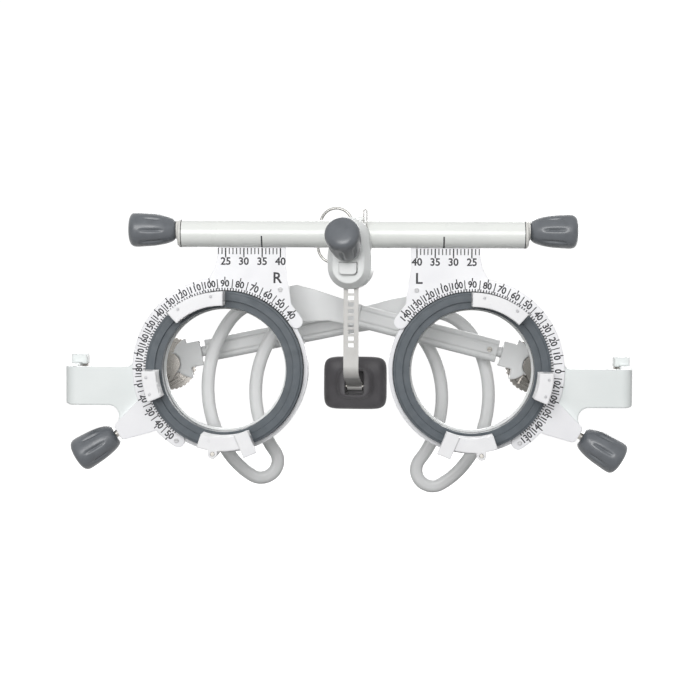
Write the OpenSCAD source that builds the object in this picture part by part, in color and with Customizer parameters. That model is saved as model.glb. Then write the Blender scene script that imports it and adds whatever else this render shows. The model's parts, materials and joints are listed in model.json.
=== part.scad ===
// Optician's universal trial frame, with both temples folded in behind the lens cells.
// +X is the wearer's left, +Y runs from the front of the frame to the wearer's face, +Z is up.
// The origin is the middle of the crossbar's axis, where both pupil scales count from.
// Each eye's pieces are modelled once, for the wearer's left eye, about the lens centre.

/* [Pupil distance] */
// Distance from the middle of the frame to the right lens centre
pd_right = 35; // [28:0.5:38]
// Distance from the middle of the frame to the left lens centre
pd_left = 32.7; // [28:0.1:38]
// Shortest distance that a lens centre can be set to
pd_min = 28; // [27.5:0.5:30]

/* [Crossbar] */
// Outer diameter of the crossbar tube
bar_d = 7.5; // [7:0.1:8.5]
// Bore of the crossbar tube
bar_bore_d = 5; // [4.6:0.1:5.4]
// Length of the crossbar over its end collars
bar_l = 96.6; // [94:0.2:108]
// Height of the crossbar's axis above the lens centres
lens_drop = 37.2; // [34:0.1:40]
// Diameter of the pupil-distance screws
pd_screw_d = 2.5; // [2:0.1:2.8]
// Height of the pupil-distance screws above the crossbar's axis
screw_rise = 1; // [0.6:0.05:1.05]

/* [Scale plate] */
// Thickness of the scale plate
plate_t = 1.2; // [0.8:0.1:1.6]
// Width of the protractor round the lens ring
dial_w = 3.7; // [3.4:0.1:4.8]
// Distance from the lens centre to the millimetre tab's edge near the nose
tab_in = 16.8; // [15:0.2:17.2]
// Distance from the lens centre to the millimetre tab's outer edge
tab_out = 1.9; // [1:0.1:3]
// Angle of the axis arm below the horizontal
axis_angle = 31; // [27:1:34]
// Length of the axis arm outside the protractor
arm_l = 8.9; // [7.6:0.1:10]

/* [Lens cell] */
// Radius of the trial lens that the cell holds
lens_r = 19; // [18.8:0.05:19.05]
// Wall of the cell housing round the lens ring's flange
cell_wall = 0.7; // [0.6:0.05:1.3]
// Width of the stop that the rear lens rests on
stop_w = 2.7; // [2.4:0.1:3.5]
// Depth of the housing behind the scale plate
cell_t = 6; // [5.6:0.1:7]
// Depth of the rear lens seat
seat_t = 3; // [2.6:0.1:3]
// Width of the lens ring, from its opening to its rim
ring_w = 4.45; // [4.2:0.05:4.8]
// Distance that the lens ring stands in front of the scale plate
ring_front = 3; // [2:0.1:3.6]
// Thickness of one front lens groove
groove_t = 1.8; // [1.6:0.1:2]
// Number of front lens grooves
groove_n = 3; // [1:1:4]

/* [Axis drive] */
// Number of teeth on the lens ring's crown gear
crown_n = 70; // [70:1:70]
// Number of teeth on the axis pinion
pinion_n = 8; // [8:1:8]
// Diameter of the axis spindle
axis_spindle_d = 2; // [1.6:0.1:2.2]

/* [Knobs] */
// Length of a knob
knob_l = 13; // [11:0.5:14]
// Largest diameter of a knob
knob_d = 9.45; // [8.6:0.05:10]
// Diameter of a knob's inner end
knob_neck_d = 5.2; // [4.6:0.1:6]
// Number of finger grooves round a knob
flute_n = 8; // [6:1:10]

/* [Side bracket] */
// Distance from the lens centre to the bracket's outer face
bracket_x = 44.3; // [43:0.1:47]
// Distance that the bracket's side wall leans outwards at the hinge
bracket_flare = 1.8; // [0:0.1:2.5]
// Height of the bracket's top edge above the lens centre
bracket_top = 0.5; // [0:0.1:1.5]
// Height of the bracket
bracket_h = 10.6; // [10:0.1:12]
// Wall of the bracket
bracket_t = 2.5; // [2:0.1:3]
// Distance of the temple hinge behind the crossbar's axis
hinge_y = 27; // [26:0.5:32]
// Diameter of the temple hinge pin
hinge_pin_d = 2; // [1.6:0.1:2.4]

/* [Temple] */
// Turn of the right temple behind the plane of the frame when folded
fold_right = 1.6; // [1.2:0.1:1.8]
// Turn of the left temple in front of the plane of the frame when folded
fold_left = 5.3; // [5:0.1:5.6]
// Slope of the right temple
tilt_right = 11.5; // [5:0.5:16]
// Slope of the left temple
tilt_left = 14.2; // [5:0.1:16]
// Distance from the hinge pin to the tilt bolt
tilt_u = 25.5; // [24.5:0.5:28]
// Radius of the ribbed tilt ring
tilt_ring_r = 7.7; // [7.4:0.1:8]
// Diameter of the tilt bolt
tilt_bolt_d = 2.4; // [2:0.1:2.8]
// Length of the temple sleeve
sleeve_l = 40.8; // [38:0.2:44]
// Height of the temple sleeve
sleeve_h = 6.5; // [5.6:0.1:7]
// Thickness of the temple sleeve
sleeve_t = 4; // [3.8:0.1:4.2]
// Diameter of the rod inside the temple sleeve
rod_d = 3; // [2.4:0.1:3.2]
// Distance that the temple can be drawn out
temple_travel = 24; // [10:1:26]
// Width of the ear loop's tube
loop_w = 3.7; // [3:0.1:4]
// Thickness of the ear loop's tube
loop_t = 2.6; // [2.2:0.1:2.8]

/* [Bridge] */
// Turn of the housing and its knob about the upright axis
bridge_turn = 7; // [0:0.5:8]
// Turn of the strap and the nose pad about the upright axis
strap_turn = 3.5; // [0:0.5:5]
// Half-width of the bridge housing
housing_r = 5.9; // [5.8:0.1:6.4]
// Depth of the bridge housing in front of the crossbar's axis
housing_front = 8.8; // [8.4:0.1:9.6]
// Upward tilt of the bridge knob
knob_tilt = 26; // [20:1:28]
// Width of the strap
strap_w = 4.1; // [3.8:0.1:4.4]
// Thickness of the strap
strap_t = 0.8; // [0.6:0.1:0.9]
// Distance from one strap window to the next
window_pitch = 1.84; // [1.8:0.02:1.9]
// Number of strap windows
window_n = 14; // [12:1:14]
// Width of the nose pad
pad_w = 17.6; // [14:0.2:19]
// Height of the nose pad
pad_h = 14.7; // [13.4:0.1:16]
// Thickness of the nose pad
pad_t = 5; // [4.4:0.1:5.6]

/* [Clearances] */
// Clearance round a turning shaft
shaft_gap = 0.05; // [0.03:0.01:0.08]
// Clearance beside sliding or turning faces
face_gap = 0.15; // [0.1:0.01:0.18]

/* [Hidden] */
$fn = 64;
eps = 0.01;
RIGHT = -1;
LEFT = 1;

white = "#eff1ef";
ivory = "#e6e5df";
bracket_white = "#dfe3e1";
slate = "#5f666c";
pad_grey = "#3f3e41";
steel = "#b9b7b0";
temple_grey = "#c9cac8";

// Crossbar
bar_r = bar_d / 2;
bar_bore_r = bar_bore_d / 2;
collar_l = 1.4;                       // cone and rim of an end cap outside the tube
tube_l = bar_l - 2 * collar_l;
plug_l = 3;                           // length of an end cap's plug inside the tube
bearing_l = 10;                       // length of the centre bearing
bearing_wall = 2;                     // solid middle of the centre bearing, to each side
pd_screw_r = pd_screw_d / 2;
knob_bore_l = 0.7 * knob_l;           // depth that a spindle reaches into its knob
end_play = 0.2;                       // clearance at the inner end of a pupil-distance screw
slot_gap = 0.15;                      // clearance on each side of the plate in the tube's slot
slot_reserve = 0.6;                   // slot left over at each end of the slider's travel
slot_bridge = 1.4;                    // whole tube left between the slot and the end cap's plug
slot_in = pd_min - tab_in - slot_reserve;
slot_out = tube_l / 2 - plug_l - slot_bridge; // ends the sliders' travel
slider_r = bar_bore_r - shaft_gap;
tab_top = screw_rise - pd_screw_r - 0.25; // top edge of the tab, below the screw

// Radii of a lens cell, from the lens outwards
seat_r = lens_r + 0.2;
aperture_r = seat_r - stop_w;
ring_in_r = lens_r - 1.95;
ring_out_r = ring_in_r + ring_w;
plate_bore_r = ring_out_r + 0.2;
flange_r = plate_bore_r + 0.2;
pocket_r = flange_r + 0.2;
cell_r = pocket_r + cell_wall;
dial_r = plate_bore_r + dial_w;
arm_r = dial_r + arm_l;

// Depths along Y in a lens cell, from the front of the claws to the back of the housing
plate_front = -plate_t / 2;
plate_back = plate_t / 2;
ring_front_y = plate_front - ring_front;
flange_front = plate_back + 0.3;
flange_t = 0.8;
tooth_root_y = flange_front + flange_t;
crown_pitch_r = ring_out_r - 0.5;
gear_module = 2 * crown_pitch_r / crown_n;
tooth_add = 0.8 * gear_module;
tooth_ded = 1.0 * gear_module;
pitch_y = tooth_root_y + tooth_ded;
tooth_tip_y = pitch_y + tooth_add;
cell_back = plate_back + cell_t;
seat_front = cell_back - seat_t;
crown_in_r = crown_pitch_r - 0.7;
crown_out_r = flange_r;

// Places of the screws that hold the plate to the lugs of the housing, as [x, z]
plate_screw_at = [(dial_r + 1.3) * [cos(124.6), sin(124.6)], (cell_r + 1) * [cos(-56), sin(-56)]];
plate_screw_r = 0.4;
plate_head_r = 0.65;
plate_screw_back = plate_back + 1.6;
screw_lug_t = 2;
screw_lug_r = 1.5;
spring_recess = 0.6;                  // depth of the lens spring's recess in the rear seat

// Front lens claws
lip_t = 0.6;
claw_h = groove_n * groove_t + (groove_n + 1) * lip_t;
claw_in_r = lens_r - 1.3;
claw_out_r = ring_out_r;
groove_r = lens_r + 0.15;
claw_front = ring_front_y - claw_h;
upper_claw_span = [47, 91];
side_claw_span = [-23, 0];
latch_claw_span = [-113, -72];
latch_pin_r = 0.55;
latch_ear_r = 1.2;
latch_pivot = [ring_out_r + 0.9, -84]; // radius and angle of the latch's pin
claw_screw_r = 0.35;
claw_screw_ring = (groove_r + claw_out_r) / 2;

// Axis drive: spindle axis lies behind the plate
pinion_pitch_r = gear_module * pinion_n / 2;
axis_y = pitch_y + pinion_pitch_r;
axis_spindle_r = axis_spindle_d / 2;
axis_knob_r0 = arm_r + 1.5;           // inner end of the axis knob
bay_r = pinion_pitch_r + tooth_add + 0.3;
boss_r = axis_spindle_r + 1.3;
arm_root_w = 9;                       // width of the axis arm at the protractor
arm_tip_w = 5;                        // width at its outer end

// Side bracket and hinge
bracket_front = plate_back;
bracket_bottom = bracket_top - bracket_h;
knuckle_r = 2.15;
hinge_x = bracket_x + bracket_flare - knuckle_r;
fork_h = 2.8;
fork_rise = 2.3;                      // upper fork above the bracket's top edge
bracket_corner = 3;                   // outer radius of the corner between front and side wall
side_lean = atan2(bracket_flare, hinge_y - bracket_front - bracket_corner);
hinge_pin_low = bracket_bottom + 1.4; // lower end of the pin, in the blind hole of the lower fork
link_gap = face_gap;

// Tilt joint, depths along the temple's own Y
disc_front = 0.5;
disc_t = 1.8;
ring_back = disc_front + disc_t / 2;  // the link's web passes behind the tilt ring
flange_y0 = -2.4;                     // front of the temple block's flange
flange_y1 = disc_front - 1.1;         // back of it, clear of the click leaves
leaf_t = 0.9;
disc_r = tilt_ring_r - 1.4;
arm_v = 1.6;                          // sleeve axis above the tilt bolt
block_u = [5.8, 9.9];
neck_gap = 1.3;
sleeve_u = block_u[1] + neck_gap;
sleeve_end = sleeve_u + sleeve_l;
rod_r = rod_d / 2;

// Ear loop: start and heading, then arcs as [radius, turn to the right]
loop_start = [sleeve_end + 26.1, -0.4];
loop_heading = -17;
loop_arcs = [[14.5, 52], [32.5, 71], [23, 22], [4.8, 158], [29, -74]];

// Bridge
bar_grip_r = bar_r + shaft_gap;
strap_front = bar_grip_r + 0.55 + face_gap + strap_t;   // distance of the strap's face before the axis
strap_y = -strap_front;
strap_top = 3;
strap_bend = -36;                     // height where the strap leans back
window_w = 1.6;
window_h = 1.15;
window_z0 = -30.2;                    // centre of the lowest window
tooth_z = window_z0 + 11 * window_pitch;
lug_w = 4.8;
lug_h = 3.2;
lug_z = tooth_z + 0.6;
lug_out = 1.5;
lug_seat = 0.4;                       // depth of the lug in its pocket when not pressed
lock_travel = 1;
bridge_screw_r = 1;
bridge_screw_in = 3;                  // length of the clamp screw inside the housing
bridge_screw_out = knob_neck_d / 2 * tan(knob_tilt) + 2 * face_gap; // its neck outside, clear of the knob
bridge_screw_z = -5.7;                // where the clamp screw's axis leaves the housing's front
collar_back = bar_grip_r + 0.9;       // outer radius of the collar's rear half
hairpin_r = 0.15;
hairpin_half = 0.45;
hairpin_at = [3.95, -4.25];           // place of the hairpin in the housing's shoulder
hairpin_foot = -1;
pad_front = 8;
pad_z = -41.4;
boss_out = 1.1;                       // boss in front of the pad
pad_pin_y = pad_front + 1;
pad_pin_z = -42.2;
pad_pin_r = 0.6;
roll_r = 1.1;

// ---- Frames of reference ----

// Pieces of one eye, about the lens centre, mirrored for the right eye
module eye(side) {
    pd = side == LEFT ? pd_left : pd_right;
    translate([side * pd, 0, -lens_drop])
        mirror([side == LEFT ? 0 : 1, 0, 0])
            children();
}

// Axis spindle's line: +X runs outwards along it
module axis_line() {
    translate([0, axis_y, 0]) rotate([0, axis_angle, 0]) children();
}

// Folded temple: +X runs from the hinge pin towards the nose
module fold(side) {
    turn = side == LEFT ? -fold_left : fold_right;
    eye(side)
        translate([hinge_x, hinge_y, 0])
            mirror([1, 0, 0])
                rotate([0, 0, turn])
                    children();
}

// Sloping temple: +X runs along the sleeve from the tilt bolt
module tilt(side) {
    slope = side == LEFT ? tilt_left : tilt_right;
    fold(side)
        translate([tilt_u, 0, 0])
            rotate([0, -slope, 0])
                children();
}

// Housing and its fittings, turned together about the upright axis
module bridge() {
    rotate([0, 0, -bridge_turn]) children();
}

// Strap and nose pad, which hang in the housing's channel with a turn of their own
module hanging() {
    rotate([0, 0, -strap_turn]) children();
}

// Clamp screw's line: +Z runs forwards and up, out of the housing
module bridge_screw_line() {
    bridge()
        translate([0, -housing_front, bridge_screw_z])
            rotate([90 - knob_tilt, 0, 0])
                children();
}

// ---- Shared shapes ----

// Cylinder along X from x0 to x1
module rod_x(r, x0, x1) {
    translate([x0, 0, 0]) rotate([0, 90, 0]) cylinder(r = r, h = x1 - x0);
}

// Cylinder along Y from y0 to y1
module rod_y(r, y0, y1) {
    translate([0, y1, 0]) rotate([90, 0, 0]) cylinder(r = r, h = y1 - y0);
}

// Flat outline in the XZ plane, given thickness from y0 to y1
module slab(y0, y1) {
    translate([0, y1, 0]) rotate([90, 0, 0]) linear_extrude(height = y1 - y0) children();
}

// Ring section drawn as [radius, y], turned about the Y axis between two angles
module ring_part(from = 0, to = 360) {
    rotate([90, 0, 0]) rotate([0, 0, from])
        rotate_extrude(angle = to - from) mirror([0, 1]) children();
}

// Sector of a flat ring between two radii and two angles
module sector(r0, r1, from, to) {
    steps = 24;
    outer = [for (i = [0:steps]) let (a = from + (to - from) * i / steps) [cos(a), sin(a)]];
    intersection() {
        difference() {
            circle(r = r1, $fn = 180);
            circle(r = r0, $fn = 180);
        }
        polygon(concat([[0, 0]], 1.2 * r1 * outer));
    }
}

// Rectangle with round corners, centred
module round_rect(w, h, r) {
    square([w - 2 * r, h], center = true);
    square([w, h - 2 * r], center = true);
    for (x = [-1, 1], y = [-1, 1])
        translate([x * (w / 2 - r), y * (h / 2 - r)]) circle(r = r);
}

function polar(r, a) = [r * cos(a), r * sin(a)];

// Knob with its neck at the origin, growing along +Z: a curved taper under a domed end
module knob(bore_r, bore_l) {
    dome_h = 1.1;
    body_l = knob_l - dome_h;
    steps = 8;
    edge_r = 0.5;
    side_points = [for (i = [0:steps]) let (t = i / steps)
        [knob_neck_d / 2 + (knob_d - knob_neck_d) / 2 * (1 - pow(1 - t, 2.6)), body_l * t]];
    dome_points = [for (a = [20:20:80])
        [(knob_d / 2 - edge_r) * cos(a) + edge_r * cos(a), body_l + dome_h * sin(a)]];
    flute_depth = 0.45;
    cutter_r = 7;
    color(slate)
    difference() {
        rotate_extrude()
            polygon(concat([[0, 0]], side_points, dome_points, [[0, knob_l]]));
        translate([0, 0, -eps]) cylinder(r = bore_r, h = bore_l + eps);
        for (i = [0:flute_n - 1])
            rotate([0, 0, 360 / flute_n * (i + 0.5)])
                translate([knob_d / 2 + cutter_r - flute_depth, 0, knob_l * 0.56])
                    rod_y(cutter_r, -0.45, 0.45);
    }
}

// ---- Crossbar ----

// Axis of the pupil-distance screws
module screw_axis() {
    translate([0, 0, screw_rise]) children();
}

module crossbar_tube() {
    color(white)
    difference() {
        rod_x(bar_r, -tube_l / 2, tube_l / 2);
        rod_x(bar_bore_r, -tube_l, tube_l);
        for (side = [RIGHT, LEFT])
            translate([side == LEFT ? slot_in : -slot_out, plate_front - slot_gap, -bar_d])
                cube([slot_out - slot_in, plate_t + 2 * slot_gap, bar_d]);
    }
}

// End caps: plug in the tube, rim over its end and the low boss round the screw
module end_caps() {
    rim = 0.5;
    bevel = 0.5;
    color(ivory)
    for (side = [0, 1])
        mirror([side, 0, 0])
            difference() {
                union() {
                    rod_x(bar_bore_r, tube_l / 2 - plug_l, tube_l / 2);
                    rod_x(bar_r, tube_l / 2, tube_l / 2 + rim);
                    translate([tube_l / 2 + rim, 0, 0]) rotate([0, 90, 0])
                        cylinder(r1 = bar_r, r2 = bar_r - bevel, h = bevel);
                    screw_axis() rod_x(knob_neck_d / 2, tube_l / 2, tube_l / 2 + collar_l);
                }
                screw_axis() rod_x(pd_screw_r + shaft_gap, tube_l / 2 - plug_l - 1, bar_l);
            }
}

module centre_bearing() {
    color(steel)
    difference() {
        rod_x(bar_bore_r, -bearing_l / 2, bearing_l / 2);
        screw_axis() {
            rod_x(pd_screw_r + shaft_gap, bearing_wall, bearing_l);
            rod_x(pd_screw_r + shaft_gap, -bearing_l, -bearing_wall);
        }
    }
}

module pd_screw() {
    color(steel)
    screw_axis() rod_x(pd_screw_r, bearing_wall + end_play, bar_l / 2 + knob_bore_l);
}

module pd_knob() {
    translate([bar_l / 2 + face_gap, 0, screw_rise]) rotate([0, 90, 0])
        knob(pd_screw_r, knob_bore_l - face_gap);
}

// ---- Lens cell ----

// Slider nut on the pupil-distance screw: the scale plate's tab is seated in its slot
module pd_slider() {
    color(steel)
    translate([0, 0, lens_drop])
    difference() {
        rod_x(slider_r, -tab_in + 0.4, tab_out - 0.4);
        screw_axis() rod_x(pd_screw_r + shaft_gap, -tab_in, tab_out);
        translate([-tab_in, plate_front, tab_top - bar_d]) cube([tab_in + tab_out, plate_t, bar_d]);
    }
}

// Outline of the millimetre tab, from the crossbar down to the protractor
module tab_outline() {
    fillet_r = 2.2;
    polygon([
        [-tab_in, lens_drop + tab_top], [-tab_in, dial_r + 2.1], [-tab_in - 0.6, dial_r - 1.4],
        [-tab_in - 1.4, dial_r - 7.4], polar(dial_r, 141), polar(cell_r - 0.5, 100), polar(dial_r, 70),
        [tab_out + 0.9 + fillet_r, dial_r - 1.5], [tab_out + 0.9, dial_r + 2.5],
        [tab_out, dial_r + 6.6], [tab_out, lens_drop + tab_top]
    ]);
}

// Outline of the axis arm, tapering outwards from the protractor
module arm_outline() {
    corner = 0.7;
    rotate(-axis_angle) {
        polygon([
            [plate_bore_r + 0.3, arm_root_w / 2 + 1], [dial_r + 1, arm_root_w / 2],
            [arm_r - corner, arm_tip_w / 2], [arm_r, arm_tip_w / 2 - corner],
            [arm_r, -arm_tip_w / 2 + corner], [arm_r - corner, -arm_tip_w / 2],
            [dial_r + 1, -arm_root_w / 2], [plate_bore_r + 0.3, -arm_root_w / 2 - 1]
        ]);
    }
}

// Protractor sector, tab, arm and the thin rim that closes the ring on the nose side
module scale_plate() {
    dial_from = -57;
    dial_to = 146;
    end_r = (dial_r - plate_bore_r) / 2;
    color(white)
    difference() {
        union() {
            slab(plate_front, plate_back) {
                sector(plate_bore_r, dial_r, dial_from, dial_to);
                for (a = [dial_from, dial_to])
                    translate(polar(plate_bore_r + end_r, a)) circle(r = end_r);
                tab_outline();
                arm_outline();
            }
            rod_y(cell_r, plate_back - plate_t / 2, plate_back);
        }
        rod_y(plate_bore_r, plate_front - 1, plate_back + 1);
        for (p = plate_screw_at) translate([p[0], 0, p[1]]) rod_y(plate_screw_r, -plate_t, plate_t);
    }
}

// Housing behind the plate: pocket for the ring's flange, stop, rear lens seat and gear bay
module cell_housing() {
    stop_front = tooth_root_y + 0.3;
    channel_r = crown_in_r - 0.3;
    channel_back = tooth_tip_y + 0.2;
    bay_wall = 0.7;
    color(white)
    difference() {
        union() {
            ring_part() polygon([
                [cell_r, plate_back], [cell_r, cell_back], [seat_r, cell_back], [seat_r, seat_front],
                [aperture_r, seat_front], [aperture_r, stop_front], [channel_r, stop_front],
                [channel_r, channel_back], [pocket_r, channel_back], [pocket_r, plate_back]
            ]);
            for (p = plate_screw_at)
                slab(plate_back, plate_back + screw_lug_t) {
                    translate(p) circle(r = screw_lug_r);
                    rotate(atan2(p[1], p[0])) translate([cell_r - 0.4, -screw_lug_r])
                        square([norm(p) - cell_r + 0.4, 2 * screw_lug_r]);
                }
            difference() {
                axis_line() rod_x(bay_r + bay_wall, seat_r + 0.2, cell_r - 0.4);
                rod_y(pocket_r, plate_back - bay_r, channel_back);
            }
        }
        axis_line() {
            rod_x(bay_r, channel_r, crown_out_r + 0.1);
            rod_x(axis_spindle_r + shaft_gap, crown_out_r, cell_r + 5);
        }
        ring_part(60, 120) translate([seat_r - 1, seat_front + 0.5])
            square([1 + spring_recess, seat_t - 1]);
        for (p = plate_screw_at)
            translate([p[0], 0, p[1]]) rod_y(plate_screw_r, 0, plate_screw_back);
    }
}

// Leaf let into the rear seat's wall, which grips the rear lens
module lens_spring() {
    color(steel)
    ring_part(61, 119) translate([seat_r + spring_recess - 0.3, seat_front + 0.6])
        square([0.3, seat_t - 1.2]);
}

// Screws of the scale plate, with slotted heads
module plate_screws() {
    head_t = 0.25;
    slit_w = 0.2;
    color(steel)
    for (p = plate_screw_at)
        translate([p[0], 0, p[1]]) {
            rod_y(plate_screw_r, plate_front, plate_screw_back);
            difference() {
                rod_y(plate_head_r, plate_front - head_t, plate_front);
                translate([-plate_head_r, plate_front - head_t - eps, -slit_w / 2])
                    cube([2 * plate_head_r, head_t / 2, slit_w]);
            }
        }
}

// Turning ring: stepped front, flange behind the plate and crown teeth at the back
module lens_ring() {
    step = 0.6;
    mid_r = ring_in_r + 1.85;
    tooth_angle = 360 / crown_n;
    tip_share = 0.2;
    root_share = 0.33;
    color(slate)
    difference() {
        union() {
            ring_part() polygon([
                [ring_in_r, ring_front_y + step], [mid_r, ring_front_y + step], [mid_r, ring_front_y],
                [ring_out_r - step, ring_front_y], [ring_out_r - step, ring_front_y + 0.4],
                [ring_out_r, ring_front_y + 0.4],
                [ring_out_r, flange_front], [flange_r, flange_front], [flange_r, tooth_root_y],
                [ring_in_r, tooth_root_y]
            ]);
            for (i = [0:crown_n - 1])
                rotate([0, tooth_angle * i + axis_angle, 0])
                    crown_tooth(tooth_angle * root_share, tooth_angle * tip_share);
            translate([polar(latch_pivot[0], latch_pivot[1])[0], 0, polar(latch_pivot[0], latch_pivot[1])[1]])
                rod_y(latch_ear_r, ring_front_y, plate_front - 0.4);
            slab(ring_front_y, plate_front - 0.4)
                rotate(latch_pivot[1]) translate([ring_out_r - 1, -latch_ear_r])
                    square([latch_pivot[0] - ring_out_r + 1, 2 * latch_ear_r]);
        }
        rod_y(ring_in_r, ring_front_y - 1, tooth_root_y + 1);
        claw_screw_places() rod_y(claw_screw_r, ring_front_y - 1, ring_front_y + 1.5);
        latch_place() rod_y(latch_pin_r, ring_front_y - 1, plate_front);
    }
}

// One crown tooth, pointing back, at angle 0; half-widths are angles at the pitch radius
module crown_tooth(root_half, tip_half) {
    mid_r = (crown_in_r + crown_out_r) / 2;
    root_w = 2 * mid_r * tan(root_half);
    tip_w = 2 * mid_r * tan(tip_half);
    translate([crown_in_r, 0, 0])
        rotate([90, 0, 90])
            linear_extrude(height = crown_out_r - crown_in_r - 0.1)
                polygon([[tooth_root_y - eps, -root_w / 2], [tooth_tip_y, -tip_w / 2],
                         [tooth_tip_y, tip_w / 2], [tooth_root_y - eps, root_w / 2]]);
}

// Section of a front claw: body with lips between the lens grooves
module claw_section() {
    translate([groove_r, claw_front]) square([claw_out_r - groove_r, claw_h]);
    for (i = [0:groove_n])
        translate([claw_in_r, claw_front + i * (groove_t + lip_t)])
            square([groove_r - claw_in_r + eps, lip_t]);
}

// Places of the claw screws, two to each fixed claw
module claw_screw_places() {
    for (a = [upper_claw_span[0] + 8, upper_claw_span[1] - 9, side_claw_span[0] + 5, side_claw_span[1] - 5])
        translate([claw_screw_ring * cos(a), 0, claw_screw_ring * sin(a)]) children();
}

module latch_place() {
    translate([latch_pivot[0] * cos(latch_pivot[1]), 0, latch_pivot[0] * sin(latch_pivot[1])]) children();
}

module fixed_claw(span) {
    color(white)
    difference() {
        ring_part(span[0], span[1]) claw_section();
        claw_screw_places() rod_y(claw_screw_r, claw_front - 1, ring_front_y + 1);
    }
}

module upper_claw() { fixed_claw(upper_claw_span); }

module side_claw() { fixed_claw(side_claw_span); }

module claw_screws() {
    color(steel)
    claw_screw_places() rod_y(claw_screw_r, claw_front - 0.12, ring_front_y + 1.5);
}

// Sprung bottom claw: turns outwards on its pin to let a lens in
module latch_claw() {
    tab_w = 3.8;
    tab_in_r = claw_in_r - 0.5;
    tab_out_r = claw_out_r + 2.3;
    tab_proud = 0.3;                  // tab in front of the claw's face and past its end
    lobe_r = 1.25;
    color(white)
    difference() {
        translate([0, -face_gap, 0]) union() {
            ring_part(latch_claw_span[0], latch_claw_span[1]) claw_section();
            latch_place() rod_y(lobe_r, claw_front, ring_front_y);
            slab(claw_front, ring_front_y) rotate(latch_pivot[1]) translate([claw_out_r - 1, -lobe_r])
                square([latch_pivot[0] - claw_out_r + 1, 2 * lobe_r]);
            rotate([0, -latch_claw_span[0], 0]) {
                slab(claw_front - tab_proud, claw_front + 0.8 * lip_t)
                    translate([tab_in_r, -tab_proud]) square([tab_out_r - tab_in_r, tab_w]);
                slab(claw_front - tab_proud, claw_front + lip_t + groove_t)
                    translate([groove_r + 0.3, -tab_proud]) square([tab_out_r - groove_r - 0.3, tab_w]);
            }
        }
        latch_place() rod_y(latch_pin_r + shaft_gap, claw_front - 1, ring_front_y + 1);
    }
}

module latch_pin() {
    color(steel)
    latch_place() rod_y(latch_pin_r, claw_front - face_gap - 0.1, plate_front - 0.4);
}

// ---- Axis drive ----

// Spindle with the pinion cut on its inner end
module axis_spindle() {
    outer_r = pinion_pitch_r + tooth_add;
    root_r = pinion_pitch_r - tooth_add - 0.15;
    tooth_half = 0.25 * gear_module * PI * 0.72;
    color(steel)
    axis_line() {
        rod_x(axis_spindle_r, crown_in_r, axis_knob_r0 + knob_bore_l);
        translate([crown_in_r, 0, 0]) rotate([0, 90, 0])
            linear_extrude(height = crown_out_r - crown_in_r) {
                circle(r = root_r);
                for (i = [0:pinion_n - 1])
                    rotate(360 / pinion_n * (i + 0.5))
                        polygon([[root_r - 0.2, -tooth_half * 1.25], [pinion_pitch_r, -tooth_half],
                                 [outer_r, -tooth_half * 0.4], [outer_r, tooth_half * 0.4],
                                 [pinion_pitch_r, tooth_half], [root_r - 0.2, tooth_half * 1.25]]);
            }
    }
}

module axis_knob() {
    axis_line() translate([axis_knob_r0, 0, 0]) rotate([0, 90, 0])
        knob(axis_spindle_r, knob_bore_l);
}

// ---- Side bracket ----

// Bracket: root round the housing, front wall, side wall, hinge forks and the spindle's boss
module side_bracket() {
    root_r = dial_r - 0.4;
    color(bracket_white)
    difference() {
        union() {
            slab(bracket_front, bracket_front + bracket_t) bracket_fillets();
            intersection() {
                slab(bracket_front, hinge_y + bracket_corner) bracket_arm_outline();
                union() {
                    translate([0, 0, bracket_bottom]) linear_extrude(height = bracket_h) bracket_plan();
                    fork_block(bracket_bottom);
                }
            }
            fork_block(bracket_top + fork_rise - fork_h);
            ring_part(-44, 22) translate([cell_r - 0.5, bracket_front])
                square([root_r - cell_r + 0.5, cell_t - 1]);
            axis_line() {
                rod_x(boss_r, cell_r + 0.6, arm_r - 0.6);
                translate([cell_r + 0.6, bracket_front - axis_y, -boss_r + 0.4])
                    cube([arm_r - cell_r - 1.2, axis_y - bracket_front, 2 * boss_r - 0.8]);
            }
        }
        rod_y(cell_r, -10, hinge_y);
        axis_line() rod_x(axis_spindle_r + shaft_gap, cell_r - 3, arm_r + 5);
        translate([hinge_x, hinge_y, hinge_pin_low])
            cylinder(r = hinge_pin_d / 2, h = bracket_h + fork_rise);
    }
}

// Half of the hinge fork, above or below the link
module fork_block(z) {
    translate([hinge_x, hinge_y, z]) {
        cylinder(r = knuckle_r, h = fork_h);
        translate([-knuckle_r, -knuckle_r - 2, 0]) cube([2 * knuckle_r, knuckle_r + 2, fork_h]);
    }
}

// Front view of the bracket's arm, with its rounded outer corners
module bracket_arm_outline() {
    bottom_r = 4;
    top_r = 1.2;
    z0 = bracket_bottom;
    x0 = dial_r - 4;
    x1 = bracket_x + bracket_flare + 0.02;
    difference() {
        translate([x0, z0]) square([x1 - x0, bracket_h]);
        difference() {
            translate([x1 - bottom_r, z0 - 1]) square([bottom_r + 1, bottom_r + 1]);
            translate([x1 - bottom_r, z0 + bottom_r]) circle(r = bottom_r);
        }
        difference() {
            translate([x1 - top_r, bracket_top - top_r]) square([top_r + 1, top_r + 1]);
            translate([x1 - top_r, bracket_top - top_r]) circle(r = top_r);
        }
    }
}

// Front wall, rounded corner and the side wall that leans outwards to the hinge, seen from above
module bracket_plan() {
    r = bracket_corner;
    steps = 9;
    centre = [bracket_x - r, bracket_front + r];
    wall_l = (hinge_y - knuckle_r - bracket_front - r) / cos(side_lean);
    along = wall_l * [sin(side_lean), cos(side_lean)];
    turns = [for (i = [0:steps]) -90 + (90 - side_lean) * i / steps];
    outer = [for (a = turns) centre + polar(r, a)];
    inner = [for (i = [steps:-1:0]) centre + polar(r - bracket_t, turns[i])];
    polygon(concat(
        [[dial_r - 4, bracket_front]], outer, [outer[steps] + along, inner[0] + along], inner,
        [[dial_r - 4, bracket_front + bracket_t]]
    ));
}

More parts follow.
